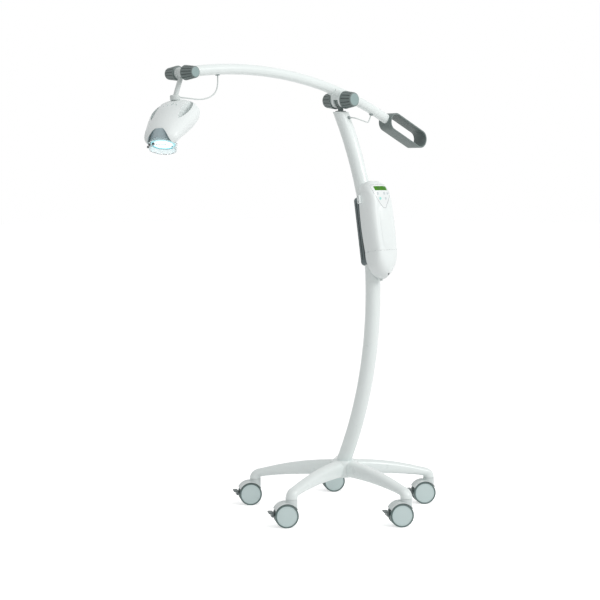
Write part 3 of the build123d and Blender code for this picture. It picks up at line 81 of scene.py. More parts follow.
cameraData = bpy.data.cameras.new("photoCamera")
cameraData.lens = photoView["lens"]
cameraData.sensor_width = photoView["sensor"]
cameraData.clip_start = 0.05
cameraData.clip_end = 100
camera = placeObject("photoCamera", cameraData)
camera.location = photoView["place"]
camera.rotation_euler = (math.radians(photoView["pitch"]), 0, math.radians(photoView["turn"]))
scene.camera = camera


# Mesh tools

def quadGrid(rows, columns, closedRows=False, closedColumns=True):
    # four corners for each cell of a grid of points; a closed direction joins its last line to its first
    row, column = np.meshgrid(
        np.arange(rows if closedRows else rows - 1),
        np.arange(columns if closedColumns else columns - 1),
        indexing="ij",
    )
    nextRow, nextColumn = (row + 1) % rows, (column + 1) % columns
    here, beyond = row * columns, nextRow * columns
    corners = (here + column, here + nextColumn, beyond + nextColumn, beyond + column)
    return np.stack(corners, axis=-1).reshape(-1, 4)


def joinSurfaces(surfaces):
    # several surfaces as one pair of arrays, each surface's numbers following those of the one before
    points, faces, count = [], [], 0
    for somePoints, someFaces in surfaces:
        somePoints = np.asarray(somePoints, float).reshape(-1, 3)
        points.append(somePoints)
        faces.append(someFaces + count)
        count += len(somePoints)
    return np.concatenate(points), faces


def mergePoints(points, faces, tolerance=2e-6):
    # points nearer than the tolerance become one, and faces that fall shut are dropped
    keys = np.round(points / tolerance).astype(np.int64)
    _, first, places = np.unique(keys, axis=0, return_index=True, return_inverse=True)
    places = places.reshape(-1)
    kept = []
    for face in faces:
        corners = [c for i, c in enumerate(places[face]) if c != places[face][i - 1]]
        if len(set(corners)) > 2:
            kept.append(corners)
    return points[first], kept


def makeMesh(name, surfaces, sharpAngle=40, outwards=True):
    points, faceArrays = joinSurfaces(surfaces)
    faces = [face for array in faceArrays for face in array]
    points, faces = mergePoints(points, faces)
    mesh = bpy.data.meshes.new(name)
    mesh.from_pydata(points.tolist(), [], [list(map(int, face)) for face in faces])
    mesh.update()
    if outwards:
        turnOutwards(mesh)
    mesh.polygons.foreach_set("use_smooth", np.ones(len(mesh.polygons), dtype=bool))
    mesh.set_sharp_from_angle(angle=math.radians(sharpAngle))
    return mesh


def turnOutwards(mesh):
    # every closed part's faces are turned the same way, out of it
    work = bmesh.new()
    work.from_mesh(mesh)
    bmesh.ops.recalc_face_normals(work, faces=work.faces)
    work.to_mesh(mesh)
    work.free()


def addPiece(name, mesh, body, slot, replaced=(), look=None):
    # a piece whose look is the one of its slot unless another is named
    mesh.materials.append(materials[look or slot])
    piece = placeObject(name, mesh)
    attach(piece, body)
    if replaced:
        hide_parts(*replaced)
    return piece


def pointsOf(mesh):
    points = np.empty(len(mesh.vertices) * 3)
    mesh.vertices.foreach_get("co", points)
    return points.reshape(-1, 3)


def smoothCopy(node, sharpAngle=32):
    # a copy of a node with its loose triangles merged, so that its curved faces shade as curves
    source = nodes[node].data
    corners = np.empty(len(source.loops), dtype=np.int32)
    source.loops.foreach_get("vertex_index", corners)
    surface = (pointsOf(source), corners.reshape(-1, 3))
    mesh = makeMesh(node + "_smooth", [surface], sharpAngle, outwards=False)
    addPiece(mesh.name, mesh, nodes[node]["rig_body"], slotOf[node], [node], finishOf[node])


# Shader groups: grain, edge wear that is partly a painted sheen on convex edges, settled dust and shaded
# creases, each built once

def newGroup(name, scale, outputs):
    group = bpy.data.node_groups.new(name, "ShaderNodeTree")
    group.interface.new_socket("Vector", in_out="INPUT", socket_type="NodeSocketVector")
    size = group.interface.new_socket("Scale", in_out="INPUT", socket_type="NodeSocketFloat")
    size.default_value = scale
    for label in outputs:
        group.interface.new_socket(label, in_out="OUTPUT", socket_type="NodeSocketFloat")
    return group, group.nodes.new("NodeGroupInput"), group.nodes.new("NodeGroupOutput")


def feed(tree, node, values):
    # each input takes its value, or a link where the value is another node's output
    for place, value in values.items():
        if isinstance(value, bpy.types.NodeSocket):
            tree.links.new(value, node.inputs[place])
        elif isinstance(value, tuple):
            node.inputs[place].default_value = (*value, 1)
        else:
            node.inputs[place].default_value = value


def mathNode(tree, operation, first, second):
    node = tree.nodes.new("ShaderNodeMath")
    node.operation = operation
    feed(tree, node, {0: first, 1: second})
    return node.outputs[0]


def mapNode(tree, value, fromLow, fromHigh, toLow, toHigh):
    node = tree.nodes.new("ShaderNodeMapRange")
    feed(tree, node, {"Value": value, "From Min": fromLow, "From Max": fromHigh})
    feed(tree, node, {"To Min": toLow, "To Max": toHigh})
    return node.outputs["Result"]


def noiseNode(tree, vector, scale, detail, roughness=0.5):
    node = tree.nodes.new("ShaderNodeTexNoise")
    feed(tree, node, {"Vector": vector, "Scale": scale, "Detail": detail, "Roughness": roughness})
    return node.outputs["Fac"]


def buildGrain():
    # fine noise for the height, and the same noise mixed with a broad one for the tone
    group, given, made = newGroup("mouldedGrain", 900.0, ("Height", "Tone"))
    vector, scale = given.outputs["Vector"], given.outputs["Scale"]
    fine = noiseNode(group, vector, scale, 3, 0.6)
    fineShare = mathNode(group, "MULTIPLY", fine, 0.35)
    broadShare = mathNode(group, "MULTIPLY", noiseNode(group, vector, 9.0, 2), 0.65)
    feed(group, made, {"Height": fine, "Tone": mathNode(group, "ADD", fineShare, broadShare)})
    return group


shapeMasks = {
    "edgeWearAndSheen": {
        "scale": 120.0, "reads": "Pointiness", "span": (0.53, 0.62), "detail": 4, "roughness": 0.65,
        "patches": (0.42, 0.68, 0.0, 1.0),
    },
    "settledDust": {
        "scale": 40.0, "reads": "Normal", "span": (0.55, 1.0), "detail": 5, "roughness": 0.6,
        "patches": (0.38, 0.72, 0.0, 1.0),
    },
    "shadedCrease": {
        "scale": 60.0, "reads": "Pointiness", "span": (0.485, 0.44), "detail": 3, "roughness": 0.5,
        "patches": (0.2, 0.6, 0.7, 1.0),
    },
}


def buildMask(name, look):
    # convex edges, upward faces or concave lines, broken up by a patchy noise
    group, given, made = newGroup(name, look["scale"], ["Mask"])
    shape = group.nodes.new("ShaderNodeNewGeometry").outputs[look["reads"]]
    if look["reads"] == "Normal":
        split = group.nodes.new("ShaderNodeSeparateXYZ")
        feed(group, split, {0: shape})
        shape = split.outputs["Z"]
    share = mapNode(group, shape, *look["span"], 0.0, 1.0)
    vector, scale = given.outputs["Vector"], given.outputs["Scale"]
    noise = noiseNode(group, vector, scale, look["detail"], look["roughness"])
    patches = mapNode(group, noise, *look["patches"])
    feed(group, made, {"Mask": mathNode(group, "MULTIPLY", share, patches)})
    return group


grainGroup = buildGrain()
maskGroups = {name: buildMask(name, look) for name, look in shapeMasks.items()}


# Materials: one finish function for the painted and moulded ones, and one each for glass and glow

def placeGroup(tree, group, vector, scale):
    node = tree.nodes.new("ShaderNodeGroup")
    node.node_tree = group
    feed(tree, node, {"Vector": vector, "Scale": scale})
    return node


def placeMask(tree, name, vector):
    return placeGroup(tree, maskGroups[name], vector, shapeMasks[name]["scale"]).outputs["Mask"]


def mixColour(tree, amount, first, second):
    node = tree.nodes.new("ShaderNodeMix")
    node.data_type = "RGBA"
    feed(tree, node, {"Factor": amount, 6: first, 7: second})
    return node.outputs[2]


def startMaterial(name):
    material = bpy.data.materials.new(name)
    material.use_nodes = True
    tree = material.node_tree
    coordinates = tree.nodes.new("ShaderNodeTexCoord")
    return material, tree, tree.nodes["Principled BSDF"], coordinates.outputs["Object"]


def toneBetween(tree, grain, low, high):
    # the grain's tone, whose usual span is stretched from a low to a high value
    return mapNode(tree, grain.outputs["Tone"], 0.3, 0.7, low, high)


def grainColour(tree, grain, look):
    return mixColour(tree, toneBetween(tree, grain, 0.0, 1.0), look["colour"], look["tint"])


def covered(tree, mask, share, colour, other):
    # a colour with another over it, where the mask times a share says so
    return mixColour(tree, mathNode(tree, "MULTIPLY", mask, share), colour, other)


def maskOf(tree, name):
    node = tree.nodes.new("ShaderNodeAttribute")
    node.attribute_name = name
    return node.outputs["Fac"]


def grainBump(tree, grain, strength):
    bump = tree.nodes.new("ShaderNodeBump")
    feed(tree, bump, {"Strength": strength, "Distance": 0.0002, "Height": grain.outputs["Height"]})
    return bump.outputs["Normal"]


dustLook = {"colour": (0.62, 0.62, 0.60), "roughness": 0.15}
creaseShade = 0.30


def surfaceFinish(name, look):
    material, tree, shader, vector = startMaterial(name)
    grain = placeGroup(tree, grainGroup, vector, look["grain"])
    dust = placeMask(tree, "settledDust", vector)
    colour = grainColour(tree, grain, look)
    # convex edges take the edge colour: wear, and on the dark finishes also a painted sheen
    colour = covered(tree, placeMask(tree, "edgeWearAndSheen", vector), look["wearAndSheen"], colour, look["wornAndSheen"])
    colour = covered(tree, dust, look["dust"], colour, dustLook["colour"])
    # pale: a wheel disc's own paler colour, and painted light on the knobs' end faces; dark: painted shade
    # in the knobs' flutes and the clamp cover's grooves
    for mask in ("pale", "dark"):
        if mask in look:
            colour = mixColour(tree, maskOf(tree, mask), colour, look[mask])
    if "crease" in look:
        shade = tuple(part * creaseShade for part in look["colour"])
        colour = covered(tree, placeMask(tree, "shadedCrease", vector), look["crease"], colour, shade)
    dusty = mathNode(tree, "MULTIPLY", dust, dustLook["roughness"])
    feed(tree, shader, {
        "Base Color": colour, "Normal": grainBump(tree, grain, look["bump"]),
        "Roughness": mathNode(tree, "ADD", toneBetween(tree, grain, *look["roughness"]), dusty),
        "Metallic": look.get("metallic", 0.0), "Coat Weight": look.get("coat", 0.0),
        "Coat Roughness": 0.12,
    })
    return material


# the edge colour of each finish is real wear, and on the dark finishes, whose edge colour is paler, also a
# painted sheen
finishes = {
    "white_enamel": {
        "colour": (0.815, 0.875, 0.865), "tint": (0.845, 0.90, 0.89), "roughness": (0.26, 0.34),
        "coat": 0.2, "grain": 60.0, "bump": 0.04, "wearAndSheen": 0.2, "wornAndSheen": (0.66, 0.69, 0.68),
        "dust": 0.04,
    },
    "white_plastic": {
        "colour": (0.835, 0.885, 0.88), "tint": (0.86, 0.905, 0.90), "roughness": (0.32, 0.42),
        "grain": 1500.0, "bump": 0.10, "wearAndSheen": 0.12, "wornAndSheen": (0.72, 0.75, 0.74), "dust": 0.04,
    },
    "light_grey_plastic": {
        "colour": (0.66, 0.71, 0.70), "tint": (0.70, 0.75, 0.74), "roughness": (0.34, 0.46),
        "grain": 1200.0, "bump": 0.15, "wearAndSheen": 0.2, "wornAndSheen": (0.78, 0.80, 0.79), "dust": 0.04,
    },
    "grey_plastic": {
        "colour": (0.150, 0.190, 0.183), "tint": (0.175, 0.215, 0.208), "roughness": (0.42, 0.56),
        "grain": 1100.0, "bump": 0.30, "wearAndSheen": 0.35, "wornAndSheen": (0.36, 0.41, 0.40), "dust": 0.06,
        # pale is painted light on the knobs' end faces, dark is painted shade in their flutes
        "pale": (0.285, 0.385, 0.380), "dark": (0.045, 0.062, 0.062),
    },
    "clamp_plastic": {
        "colour": (0.115, 0.150, 0.155), "tint": (0.135, 0.172, 0.178), "roughness": (0.40, 0.52),
        "grain": 1100.0, "bump": 0.30, "wearAndSheen": 0.35, "wornAndSheen": (0.32, 0.38, 0.38), "dust": 0.05,
        # dark is painted shade in the clamp cover's grooves
        "dark": (0.018, 0.024, 0.026),
    },
    "gland_rubber": {
        "colour": (0.26, 0.31, 0.31), "tint": (0.31, 0.36, 0.36), "roughness": (0.55, 0.68),
        "grain": 900.0, "bump": 0.30, "wearAndSheen": 0.2, "wornAndSheen": (0.42, 0.47, 0.47), "dust": 0.05,
    },
    "screw_steel": {
        "colour": (0.10, 0.11, 0.115), "tint": (0.15, 0.16, 0.165), "roughness": (0.30, 0.42),
        "metallic": 0.8, "grain": 700.0, "bump": 0.15, "wearAndSheen": 0.4, "wornAndSheen": (0.40, 0.41, 0.42),
        "dust": 0.03,
    },
    "seam_shade": {
        "colour": (0.10, 0.125, 0.14), "tint": (0.14, 0.165, 0.18), "roughness": (0.55, 0.68),
        "grain": 900.0, "bump": 0.10, "wearAndSheen": 0.1, "wornAndSheen": (0.30, 0.33, 0.34), "dust": 0.02,
    },
    "hood_plastic": {
        "colour": (0.66, 0.715, 0.71), "tint": (0.71, 0.76, 0.755), "roughness": (0.30, 0.42),
        "grain": 1300.0, "bump": 0.18, "wearAndSheen": 0.25, "wornAndSheen": (0.80, 0.83, 0.82), "dust": 0.05,
        "crease": 0.6,
    },
    "collar_grey": {
        "colour": (0.36, 0.46, 0.50), "tint": (0.42, 0.52, 0.55), "roughness": (0.22, 0.32),
        "grain": 800.0, "bump": 0.08, "wearAndSheen": 0.3, "wornAndSheen": (0.60, 0.66, 0.68), "dust": 0.05,
    },
    "dark_plastic": {
        "colour": (0.030, 0.036, 0.037), "tint": (0.045, 0.052, 0.052), "roughness": (0.40, 0.55),
        "grain": 1200.0, "bump": 0.30, "wearAndSheen": 0.4, "wornAndSheen": (0.14, 0.16, 0.16), "dust": 0.12,
    },
    "dark_rubber": {
        "colour": (0.028, 0.031, 0.031), "tint": (0.042, 0.046, 0.046), "roughness": (0.60, 0.75),
        "grain": 900.0, "bump": 0.45, "wearAndSheen": 0.3, "wornAndSheen": (0.12, 0.13, 0.13), "dust": 0.15,
    },
    "keypad_film": {
        "colour": (0.83, 0.87, 0.87), "tint": (0.86, 0.895, 0.895), "roughness": (0.22, 0.30),
        "grain": 2200.0, "bump": 0.10, "wearAndSheen": 0.1, "wornAndSheen": (0.68, 0.72, 0.72), "dust": 0.03,
    },
    "key_grey": {
        "colour": (0.60, 0.66, 0.68), "tint": (0.66, 0.71, 0.73), "roughness": (0.34, 0.46),
        "grain": 1600.0, "bump": 0.18, "wearAndSheen": 0.3, "wornAndSheen": (0.80, 0.82, 0.82), "dust": 0.03,
    },
    "key_green": {
        "colour": (0.28, 0.74, 0.66), "tint": (0.34, 0.80, 0.72), "roughness": (0.34, 0.46),
        "grain": 1600.0, "bump": 0.18, "wearAndSheen": 0.2, "wornAndSheen": (0.66, 0.86, 0.82), "dust": 0.03,
    },
    "steel": {
        "colour": (0.42, 0.43, 0.44), "tint": (0.50, 0.51, 0.52), "roughness": (0.26, 0.40),
        "metallic": 1.0, "grain": 700.0, "bump": 0.20, "wearAndSheen": 0.5, "wornAndSheen": (0.66, 0.67, 0.68),
        "dust": 0.05,
    },
    "board_green": {
        "colour": (0.02, 0.16, 0.07), "tint": (0.03, 0.20, 0.09), "roughness": (0.35, 0.5),
        "grain": 500.0, "bump": 0.20, "wearAndSheen": 0.2, "wornAndSheen": (0.30, 0.34, 0.20), "dust": 0.1,
    },
    "supply_metal": {
        "colour": (0.55, 0.56, 0.57), "tint": (0.62, 0.63, 0.64), "roughness": (0.32, 0.46),
        "metallic": 0.9, "grain": 600.0, "bump": 0.15, "wearAndSheen": 0.3, "wornAndSheen": (0.75, 0.76, 0.77),
        "dust": 0.1,
    },
    "cable_jacket": {
        "colour": (0.62, 0.67, 0.66), "tint": (0.68, 0.73, 0.72), "roughness": (0.42, 0.55),
        "grain": 1400.0, "bump": 0.20, "wearAndSheen": 0.1, "wornAndSheen": (0.74, 0.77, 0.76), "dust": 0.05,
    },
    "indicator_lens": {
        "colour": (0.24, 0.42, 0.40), "tint": (0.30, 0.48, 0.46), "roughness": (0.16, 0.24),
        "coat": 0.4, "grain": 1500.0, "bump": 0.06, "wearAndSheen": 0.1, "wornAndSheen": (0.55, 0.66, 0.64),
        "dust": 0.03,
    },
    "reflector_metal": {
        "colour": (0.80, 0.82, 0.84), "tint": (0.86, 0.88, 0.90), "roughness": (0.10, 0.18),
        "metallic": 1.0, "grain": 300.0, "bump": 0.08, "wearAndSheen": 0.1, "wornAndSheen": (0.90, 0.91, 0.92),
        "dust": 0.02,
    },
    "lamp_metal": {
        "colour": (0.48, 0.50, 0.52), "tint": (0.55, 0.57, 0.59), "roughness": (0.34, 0.46),
        "metallic": 0.9, "grain": 500.0, "bump": 0.18, "wearAndSheen": 0.3, "wornAndSheen": (0.74, 0.75, 0.76),
        "dust": 0.05,
    },
    "caster_plastic": {
        "colour": (0.46, 0.53, 0.53), "tint": (0.51, 0.58, 0.58), "roughness": (0.36, 0.48),
        "grain": 1300.0, "bump": 0.22, "wearAndSheen": 0.3, "wornAndSheen": (0.66, 0.70, 0.70), "dust": 0.08,
    },
    "caster_tyre": {
        "colour": (0.105, 0.155, 0.150), "tint": (0.130, 0.180, 0.175), "roughness": (0.42, 0.56),
        "grain": 1000.0, "bump": 0.25, "wearAndSheen": 0.25, "wornAndSheen": (0.34, 0.40, 0.39), "dust": 0.06,
        "pale": (0.600, 0.710, 0.705),
    },
    "pedal_plastic": {
        "colour": (0.10, 0.125, 0.125), "tint": (0.125, 0.15, 0.15), "roughness": (0.40, 0.52),
        "grain": 1200.0, "bump": 0.30, "wearAndSheen": 0.45, "wornAndSheen": (0.30, 0.34, 0.34), "dust": 0.10,
    },
}
materials = {slot: surfaceFinish(slot, look) for slot, look in finishes.items()}


def clearPlastic(name, look):
    # a see-through plastic with a slight ripple
    material, tree, shader, vector = startMaterial(name)
    grain = placeGroup(tree, grainGroup, vector, look["grain"])
    feed(tree, shader, {
        "Base Color": grainColour(tree, grain, look), "Normal": grainBump(tree, grain, look["bump"]),
        "Roughness": toneBetween(tree, grain, *look["roughness"]),
        "Transmission Weight": look["clear"], "IOR": look["ior"],
    })
    return material


clearLook = {
    "colour": (0.86, 0.96, 0.97), "tint": (0.92, 0.98, 0.985), "roughness": (0.04, 0.12),
    "clear": 0.9, "ior": 1.46, "grain": 120.0, "bump": 0.1,
}
materials["clear_ring"] = clearPlastic("clear_ring", clearLook)


def glowingLens(name, look):
    # white in the middle and cyan at the rim, read from the piece's own rim attribute
    material, tree, shader, vector = startMaterial(name)
    grain = placeGroup(tree, grainGroup, vector, look["grain"])
    uneven = mathNode(tree, "ADD", maskOf(tree, "rim"), toneBetween(tree, grain, *look["waver"]))
    edge = mapNode(tree, uneven, look["from"], look["to"], 0.0, 1.0)
    feed(tree, shader, {
        "Base Color": mixColour(tree, edge, look["glass"], look["glassEdge"]),
        "Emission Color": mixColour(tree, edge, look["middle"], look["edge"]),
        "Emission Strength": look["strength"],
        "Roughness": toneBetween(tree, grain, *look["roughness"]),
    })
    return material


lensLook = {
    "from": 0.70, "to": 0.90, "middle": (1.0, 1.0, 1.0), "edge": (0.06, 0.44, 0.50), "strength": 1.0,
    "glass": (0.75, 0.9, 0.93), "glassEdge": (0.2, 0.5, 0.56), "grain": 200.0,
    "waver": (-0.03, 0.03), "roughness": (0.08, 0.16),
}
materials["lens_glass"] = glowingLens("lens_glass", lensLook)


def litDisplay(name, look):
    # backlit green in faint blotches
    material, tree, shader, vector = startMaterial(name)
    grain = placeGroup(tree, grainGroup, vector, look["grain"])
    glow = grainColour(tree, grain, look)
    feed(tree, shader, {
        "Base Color": glow, "Emission Color": glow, "Emission Strength": look["strength"],
        "Specular IOR Level": look["gloss"], "Roughness": toneBetween(tree, grain, *look["roughness"]),
    })
    return material


displayLook = {
    "colour": (0.030, 0.150, 0.004), "tint": (0.060, 0.230, 0.010), "strength": 0.25, "grain": 900.0,
    "gloss": 0.12, "roughness": (0.25, 0.35),
}
materials["display_glass"] = litDisplay("display_glass", displayLook)
print("materials made:", len(materials))

slotOf = {entry["node"]: entry["material_slot"] for entry in frame["record"]["subparts"]}
finishOf = dict(slotOf)
finishOf.update({
    "boom_saddle": "white_enamel", "mast_grommet": "gland_rubber", "boom_grommets": "gland_rubber",
    "power_inlet": "light_grey_plastic", "cover_screw": "screw_steel",
})
finishOf.update({node: "hood_plastic" for node in nodes if node.endswith("_housing")})


# Cords. Each route is a NURBS line, and the tube's rings stand across the points read from it.

def routeLine(name, route):
    curve = bpy.data.curves.new(name, "CURVE")
    curve.dimensions = "3D"
    curve.resolution_u = 24
    spline = curve.splines.new("NURBS")
    spline.points.add(len(route) - 1)
    for point, place in zip(spline.points, route):
        point.co = (*place, 1)
    spline.order_u = 3
    spline.use_endpoint_u = True
    holder = placeObject(name, curve)
    bpy.context.view_layer.update()
    line = bpy.data.meshes.new_from_object(holder)
    points = pointsOf(line)
    bpy.data.objects.remove(holder)
    bpy.data.meshes.remove(line)
    return points


def lineDirections(line):
    run = np.gradient(line, axis=0)
    return run / np.linalg.norm(run, axis=1, keepdims=True)


def roundAngles(around):
    return np.arange(around) / around * 2 * np.pi


def cordMesh(name, line, directions, diameter, around=16):
    # a ring of points across the line at each of its points: centre + radius * (cos * side + sin * other)
    guide = np.array([0.35, 0.20, 0.91])
    side = np.cross(directions, guide)
    side /= np.linalg.norm(side, axis=1, keepdims=True)
    other = np.cross(directions, side)
    angle = roundAngles(around)
    ring = np.cos(angle)[:, None] * side[:, None] + np.sin(angle)[:, None] * other[:, None]
    rings = line[:, None] + diameter / 2 * ring
    ends = np.repeat(line[[0, -1]], around, axis=0).reshape(2, around, 3)
    rings = np.concatenate([ends[:1], rings, ends[1:]])
    return makeMesh(name, [(rings, quadGrid(len(rings), around))], sharpAngle=50)


def lineLength(line):
    return float(np.linalg.norm(np.diff(line, axis=0), axis=1).sum())


def addCord(name, line, directions, diameter, replaced):
    mesh = cordMesh(name, line, directions, diameter)
    mesh.materials.append(materials["cable_jacket"])
    piece = placeObject(name, mesh)
    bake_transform(piece)
    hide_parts(*replaced)


headCable = {
    "diameter": 0.004,
    "route": [
        (-0.53047, 0.0186, 1.39666), (-0.52815, 0.0186, 1.36875), (-0.541, 0.0186, 1.3415),
        (-0.573, 0.0186, 1.326), (-0.611, 0.0186, 1.322), (-0.645, 0.0186, 1.325),
        (-0.679, 0.0186, 1.3255),
    ],
}
headLine = routeLine("headRoute", headCable["route"])
addCord("head_cable_line", headLine, lineDirections(headLine), headCable["diameter"],
        ["head_cable"])

boomCable = {
    "diameter": 0.004,
    "meeting": 0.52,
    "route": [
        (0, -0.02253, 1.286), (0, -0.03953, 1.286), (0.0175, -0.050, 1.280), (0.050, -0.042, 1.2745),
        (0.082, -0.022, 1.2735), (0.110, 0.003, 1.2745), (0.13575, 0.0186, 1.27774),
        (0.14436, 0.0186, 1.30014),
    ],
}
boomLine = routeLine("boomRoute", boomCable["route"])
boomDirections = lineDirections(boomLine)
meeting = int(len(boomLine) * boomCable["meeting"])
addCord("boom_cable_lower", boomLine[:meeting + 1], boomDirections[:meeting + 1], boomCable["diameter"],
        ["boom_cable"])
addCord("boom_cable_upper", boomLine[meeting:], boomDirections[meeting:], boomCable["diameter"],
        ["boom_cable"])
print("cords made:", round(lineLength(headLine), 4), round(lineLength(boomLine), 4), "m")


# Shared surfaces: a turned profile, and a mask that a material reads from a piece

def axisFrame(axis, towards):
    # the axis, the part of towards that stands across it, and their cross product, each one long
    axis = np.asarray(axis, float) / np.linalg.norm(axis)
    side = np.asarray(towards, float) - axis * np.dot(axis, towards)
    side /= np.linalg.norm(side)
    return axis, side, np.cross(axis, side)


def turnedSurface(profile, place, axis, towards=(0.3, 0.2, 0.9), around=96, flutes=None):
    # place + height * axis + radius * (cos * side + sin * other), the radius less the flutes' depth
    axis, side, other = axisFrame(axis, towards)
    angle = roundAngles(around)
    profile = np.asarray(profile, float)
    radius = np.repeat(profile[:, :1], around, axis=1)
    if flutes is not None:
        radius = radius - flutes(profile[:, :1], profile[:, 1:], angle[None])
    outwards = np.cos(angle)[:, None] * side + np.sin(angle)[:, None] * other
    points = np.asarray(place) + profile[:, 1][:, None, None] * axis + radius[..., None] * outwards[None]
    return points, quadGrid(len(profile), around)


def inFrame(origin, *parts):
    # origin + amount * direction for each part, the amounts one per point
    points = np.asarray(origin, float)
    for amount, direction in parts:
        points = points + amount[..., None] * np.asarray(direction, float)
    return points


def roundCorner(centre, radius, start, end, count=7):
    # points of an arc in a profile, from a start to an end angle in degrees
    angle = np.radians(np.linspace(start, end, count))
    return np.stack([centre[0] + radius * np.cos(angle), centre[1] + radius * np.sin(angle)], axis=1)


def profileOf(*parts):
    return np.concatenate([np.atleast_2d(np.asarray(part, float)) for part in parts])


def fromAxis(mesh, place, axis):
    # each point's distance from an axis and its height along it
    offset = pointsOf(mesh) - np.asarray(place)
    axis = np.asarray(axis, float) / np.linalg.norm(axis)
    height = offset @ axis
    return np.linalg.norm(offset - height[:, None] * axis, axis=1), height


def ramp(value, low, high):
    return np.clip((value - low) / (high - low), 0, 1)


def writeMask(mesh, name, values):
    mask = mesh.attributes.new(name, "FLOAT", "POINT")
    mask.data.foreach_set("value", np.asarray(values, np.float32))


joints = {joint["name"]: joint for joint in frame["record"]["behaviour"]["joints"]}
mounts = {mount["name"]: mount for mount in frame["record"]["mounts"]}


# Mast: a tube bent to one side, its rows level so that its top is cut level

mast = {
    "radius": 0.024, "wall": 0.0025, "bend": 1.254, "foot": 0.150, "base": 0.166, "top": 1.3055,
    "topReach": 0.0186, "mouth": 0.006, "edge": 0.0004,
}


def mastCentre():
    # centre of the arc through the foot and the top, as seen from the side
    rise = mast["top"] - mast["base"]
    lean = math.atan2(mast["topReach"], rise)
    drop = math.sqrt(mast["bend"] ** 2 - (math.hypot(rise, mast["topReach"]) / 2) ** 2)
    middle = (mast["base"] + mast["top"]) / 2
    return mast["topReach"] / 2 + drop * math.cos(lean), middle - drop * math.sin(lean)


def mastSurface(rows=180, around=64):
    # at each level, x = radius * sin(angle), and y lies on an arc that grows by radius * cos(angle)
    centreY, centreZ = mastCentre()
    height = np.linspace(mast["foot"], mast["top"] - mast["edge"], rows)
    heights = np.concatenate([[mast["foot"]], height, [mast["top"]] * 2, [mast["top"] - mast["mouth"]] * 2])
    outer, inner = mast["radius"], mast["radius"] - mast["wall"]
    radii = np.concatenate([[0], np.full(rows, outer), [outer - mast["edge"], inner], [inner, 0]])
    angle = roundAngles(around)
    radius, level = radii[:, None], heights[:, None]
    arc = mast["bend"] + radius * np.cos(angle)
    y = centreY - np.sqrt(arc ** 2 - (level - centreZ) ** 2)
    points = np.stack([radius * np.sin(angle), y, np.broadcast_to(level, y.shape)], axis=-1)
    return points, quadGrid(len(heights), around)


addPiece("bentMast", makeMesh("bentMast", [mastSurface()]), "stand", "white_enamel", ["mast_tube"])


# Boom: a tube bent in the lamp's plane, closed at the clevis and let into the handle's band

boom = {
    "radius": 0.016, "bend": 1.5469, "apex": (-0.404, 1.4204), "level": 0.0186, "left": -0.646,
    "right": 0.2192, "edge": 0.0006,
}


def boomSpot(x):
    # angle along the boom's arc at an x
    return math.asin((x - boom["apex"][0]) / boom["bend"])


def boomSurface(rows=200, around=48):
    # the arc's radius grows by radius * cos(angle), and y = level + radius * sin(angle)
    turn = np.linspace(boomSpot(boom["left"]), boomSpot(boom["right"]), rows)
    turn = np.concatenate([turn[:1], turn[:1], turn, turn[-1:]])
    radii = np.concatenate([[0, boom["radius"] - boom["edge"]], np.full(rows, boom["radius"]), [0]])
    turn[2] += boom["edge"] / boom["bend"]
    angle = roundAngles(around)
    arc = boom["bend"] + radii[:, None] * np.cos(angle)
    x = boom["apex"][0] + arc * np.sin(turn[:, None])
    z = boom["apex"][1] - boom["bend"] + arc * np.cos(turn[:, None])
    y = boom["level"] + radii[:, None] * np.sin(angle)
    return np.stack([x, y, z], axis=-1), quadGrid(len(radii), around)


addPiece("bentBoom", makeMesh("bentBoom", [boomSurface()]), "boom", "white_enamel", ["boom_tube"])


# Loop handle: a rounded flat section carried round a stadium

loopHandle = {
    "start": 0.215, "length": 0.195, "height": 0.060, "width": 0.055, "wall": 0.005, "edge": 0.0012,
}


def loopSurface(bendRows=48, straightRows=24, edgeRows=5):
    # the outline's point less the outline's normal times the depth, and the section's y across the band
    fall = boomSpot(loopHandle["start"])
    along = np.array([math.cos(fall), 0, -math.sin(fall)])
    across = np.array([math.sin(fall), 0, math.cos(fall)])
    apexX, apexZ = boom["apex"]
    originX = apexX + boom["bend"] * math.sin(fall)
    originZ = apexZ - boom["bend"] + boom["bend"] * math.cos(fall)
    origin = np.array([originX, boom["level"], originZ])
    bend = loopHandle["height"] / 2
    turn = np.linspace(-np.pi / 2, np.pi / 2, bendRows)
    straight = np.linspace(bend, loopHandle["length"] - bend, straightRows)[1:-1]
    farEnd = np.stack([loopHandle["length"] - bend + bend * np.cos(turn), bend * np.sin(turn)], axis=1)
    nearEnd = np.stack([bend - bend * np.cos(turn), -bend * np.sin(turn)], axis=1)
    upper = np.stack([straight[::-1], np.full(len(straight), bend)], axis=1)
    lower = np.stack([straight, np.full(len(straight), -bend)], axis=1)
    outline = np.concatenate([farEnd, upper, nearEnd, lower])
    outNormal = np.concatenate([
        np.stack([np.cos(turn), np.sin(turn)], axis=1), np.tile([0.0, 1.0], (len(straight), 1)),
        np.stack([-np.cos(turn), -np.sin(turn)], axis=1), np.tile([0.0, -1.0], (len(straight), 1)),
    ])
    edge, wall, half = loopHandle["edge"], loopHandle["wall"], loopHandle["width"] / 2
    section = profileOf(
        roundCorner((edge, half - edge), edge, 180, 90, edgeRows),
        roundCorner((wall - edge, half - edge), edge, 90, 0, edgeRows),
        roundCorner((wall - edge, edge - half), edge, 0, -90, edgeRows),
        roundCorner((edge, edge - half), edge, -90, -180, edgeRows),
    )
    flat = outline[:, None] - outNormal[:, None] * section[None, :, :1]
    level = np.broadcast_to(section[:, 1], flat.shape[:2])
    points = inFrame(origin, (flat[..., 0], along), (flat[..., 1], across), (level, (0, 1, 0)))
    return points, quadGrid(len(outline), len(section), closedRows=True)


addPiece("loopBand", makeMesh("loopBand", [loopSurface()]), "boom", "grey_plastic", ["loop_handle"])
print("tubes and loop handle made")


# Star base: a turned hub, and five legs that arch outwards and drop into round elbows

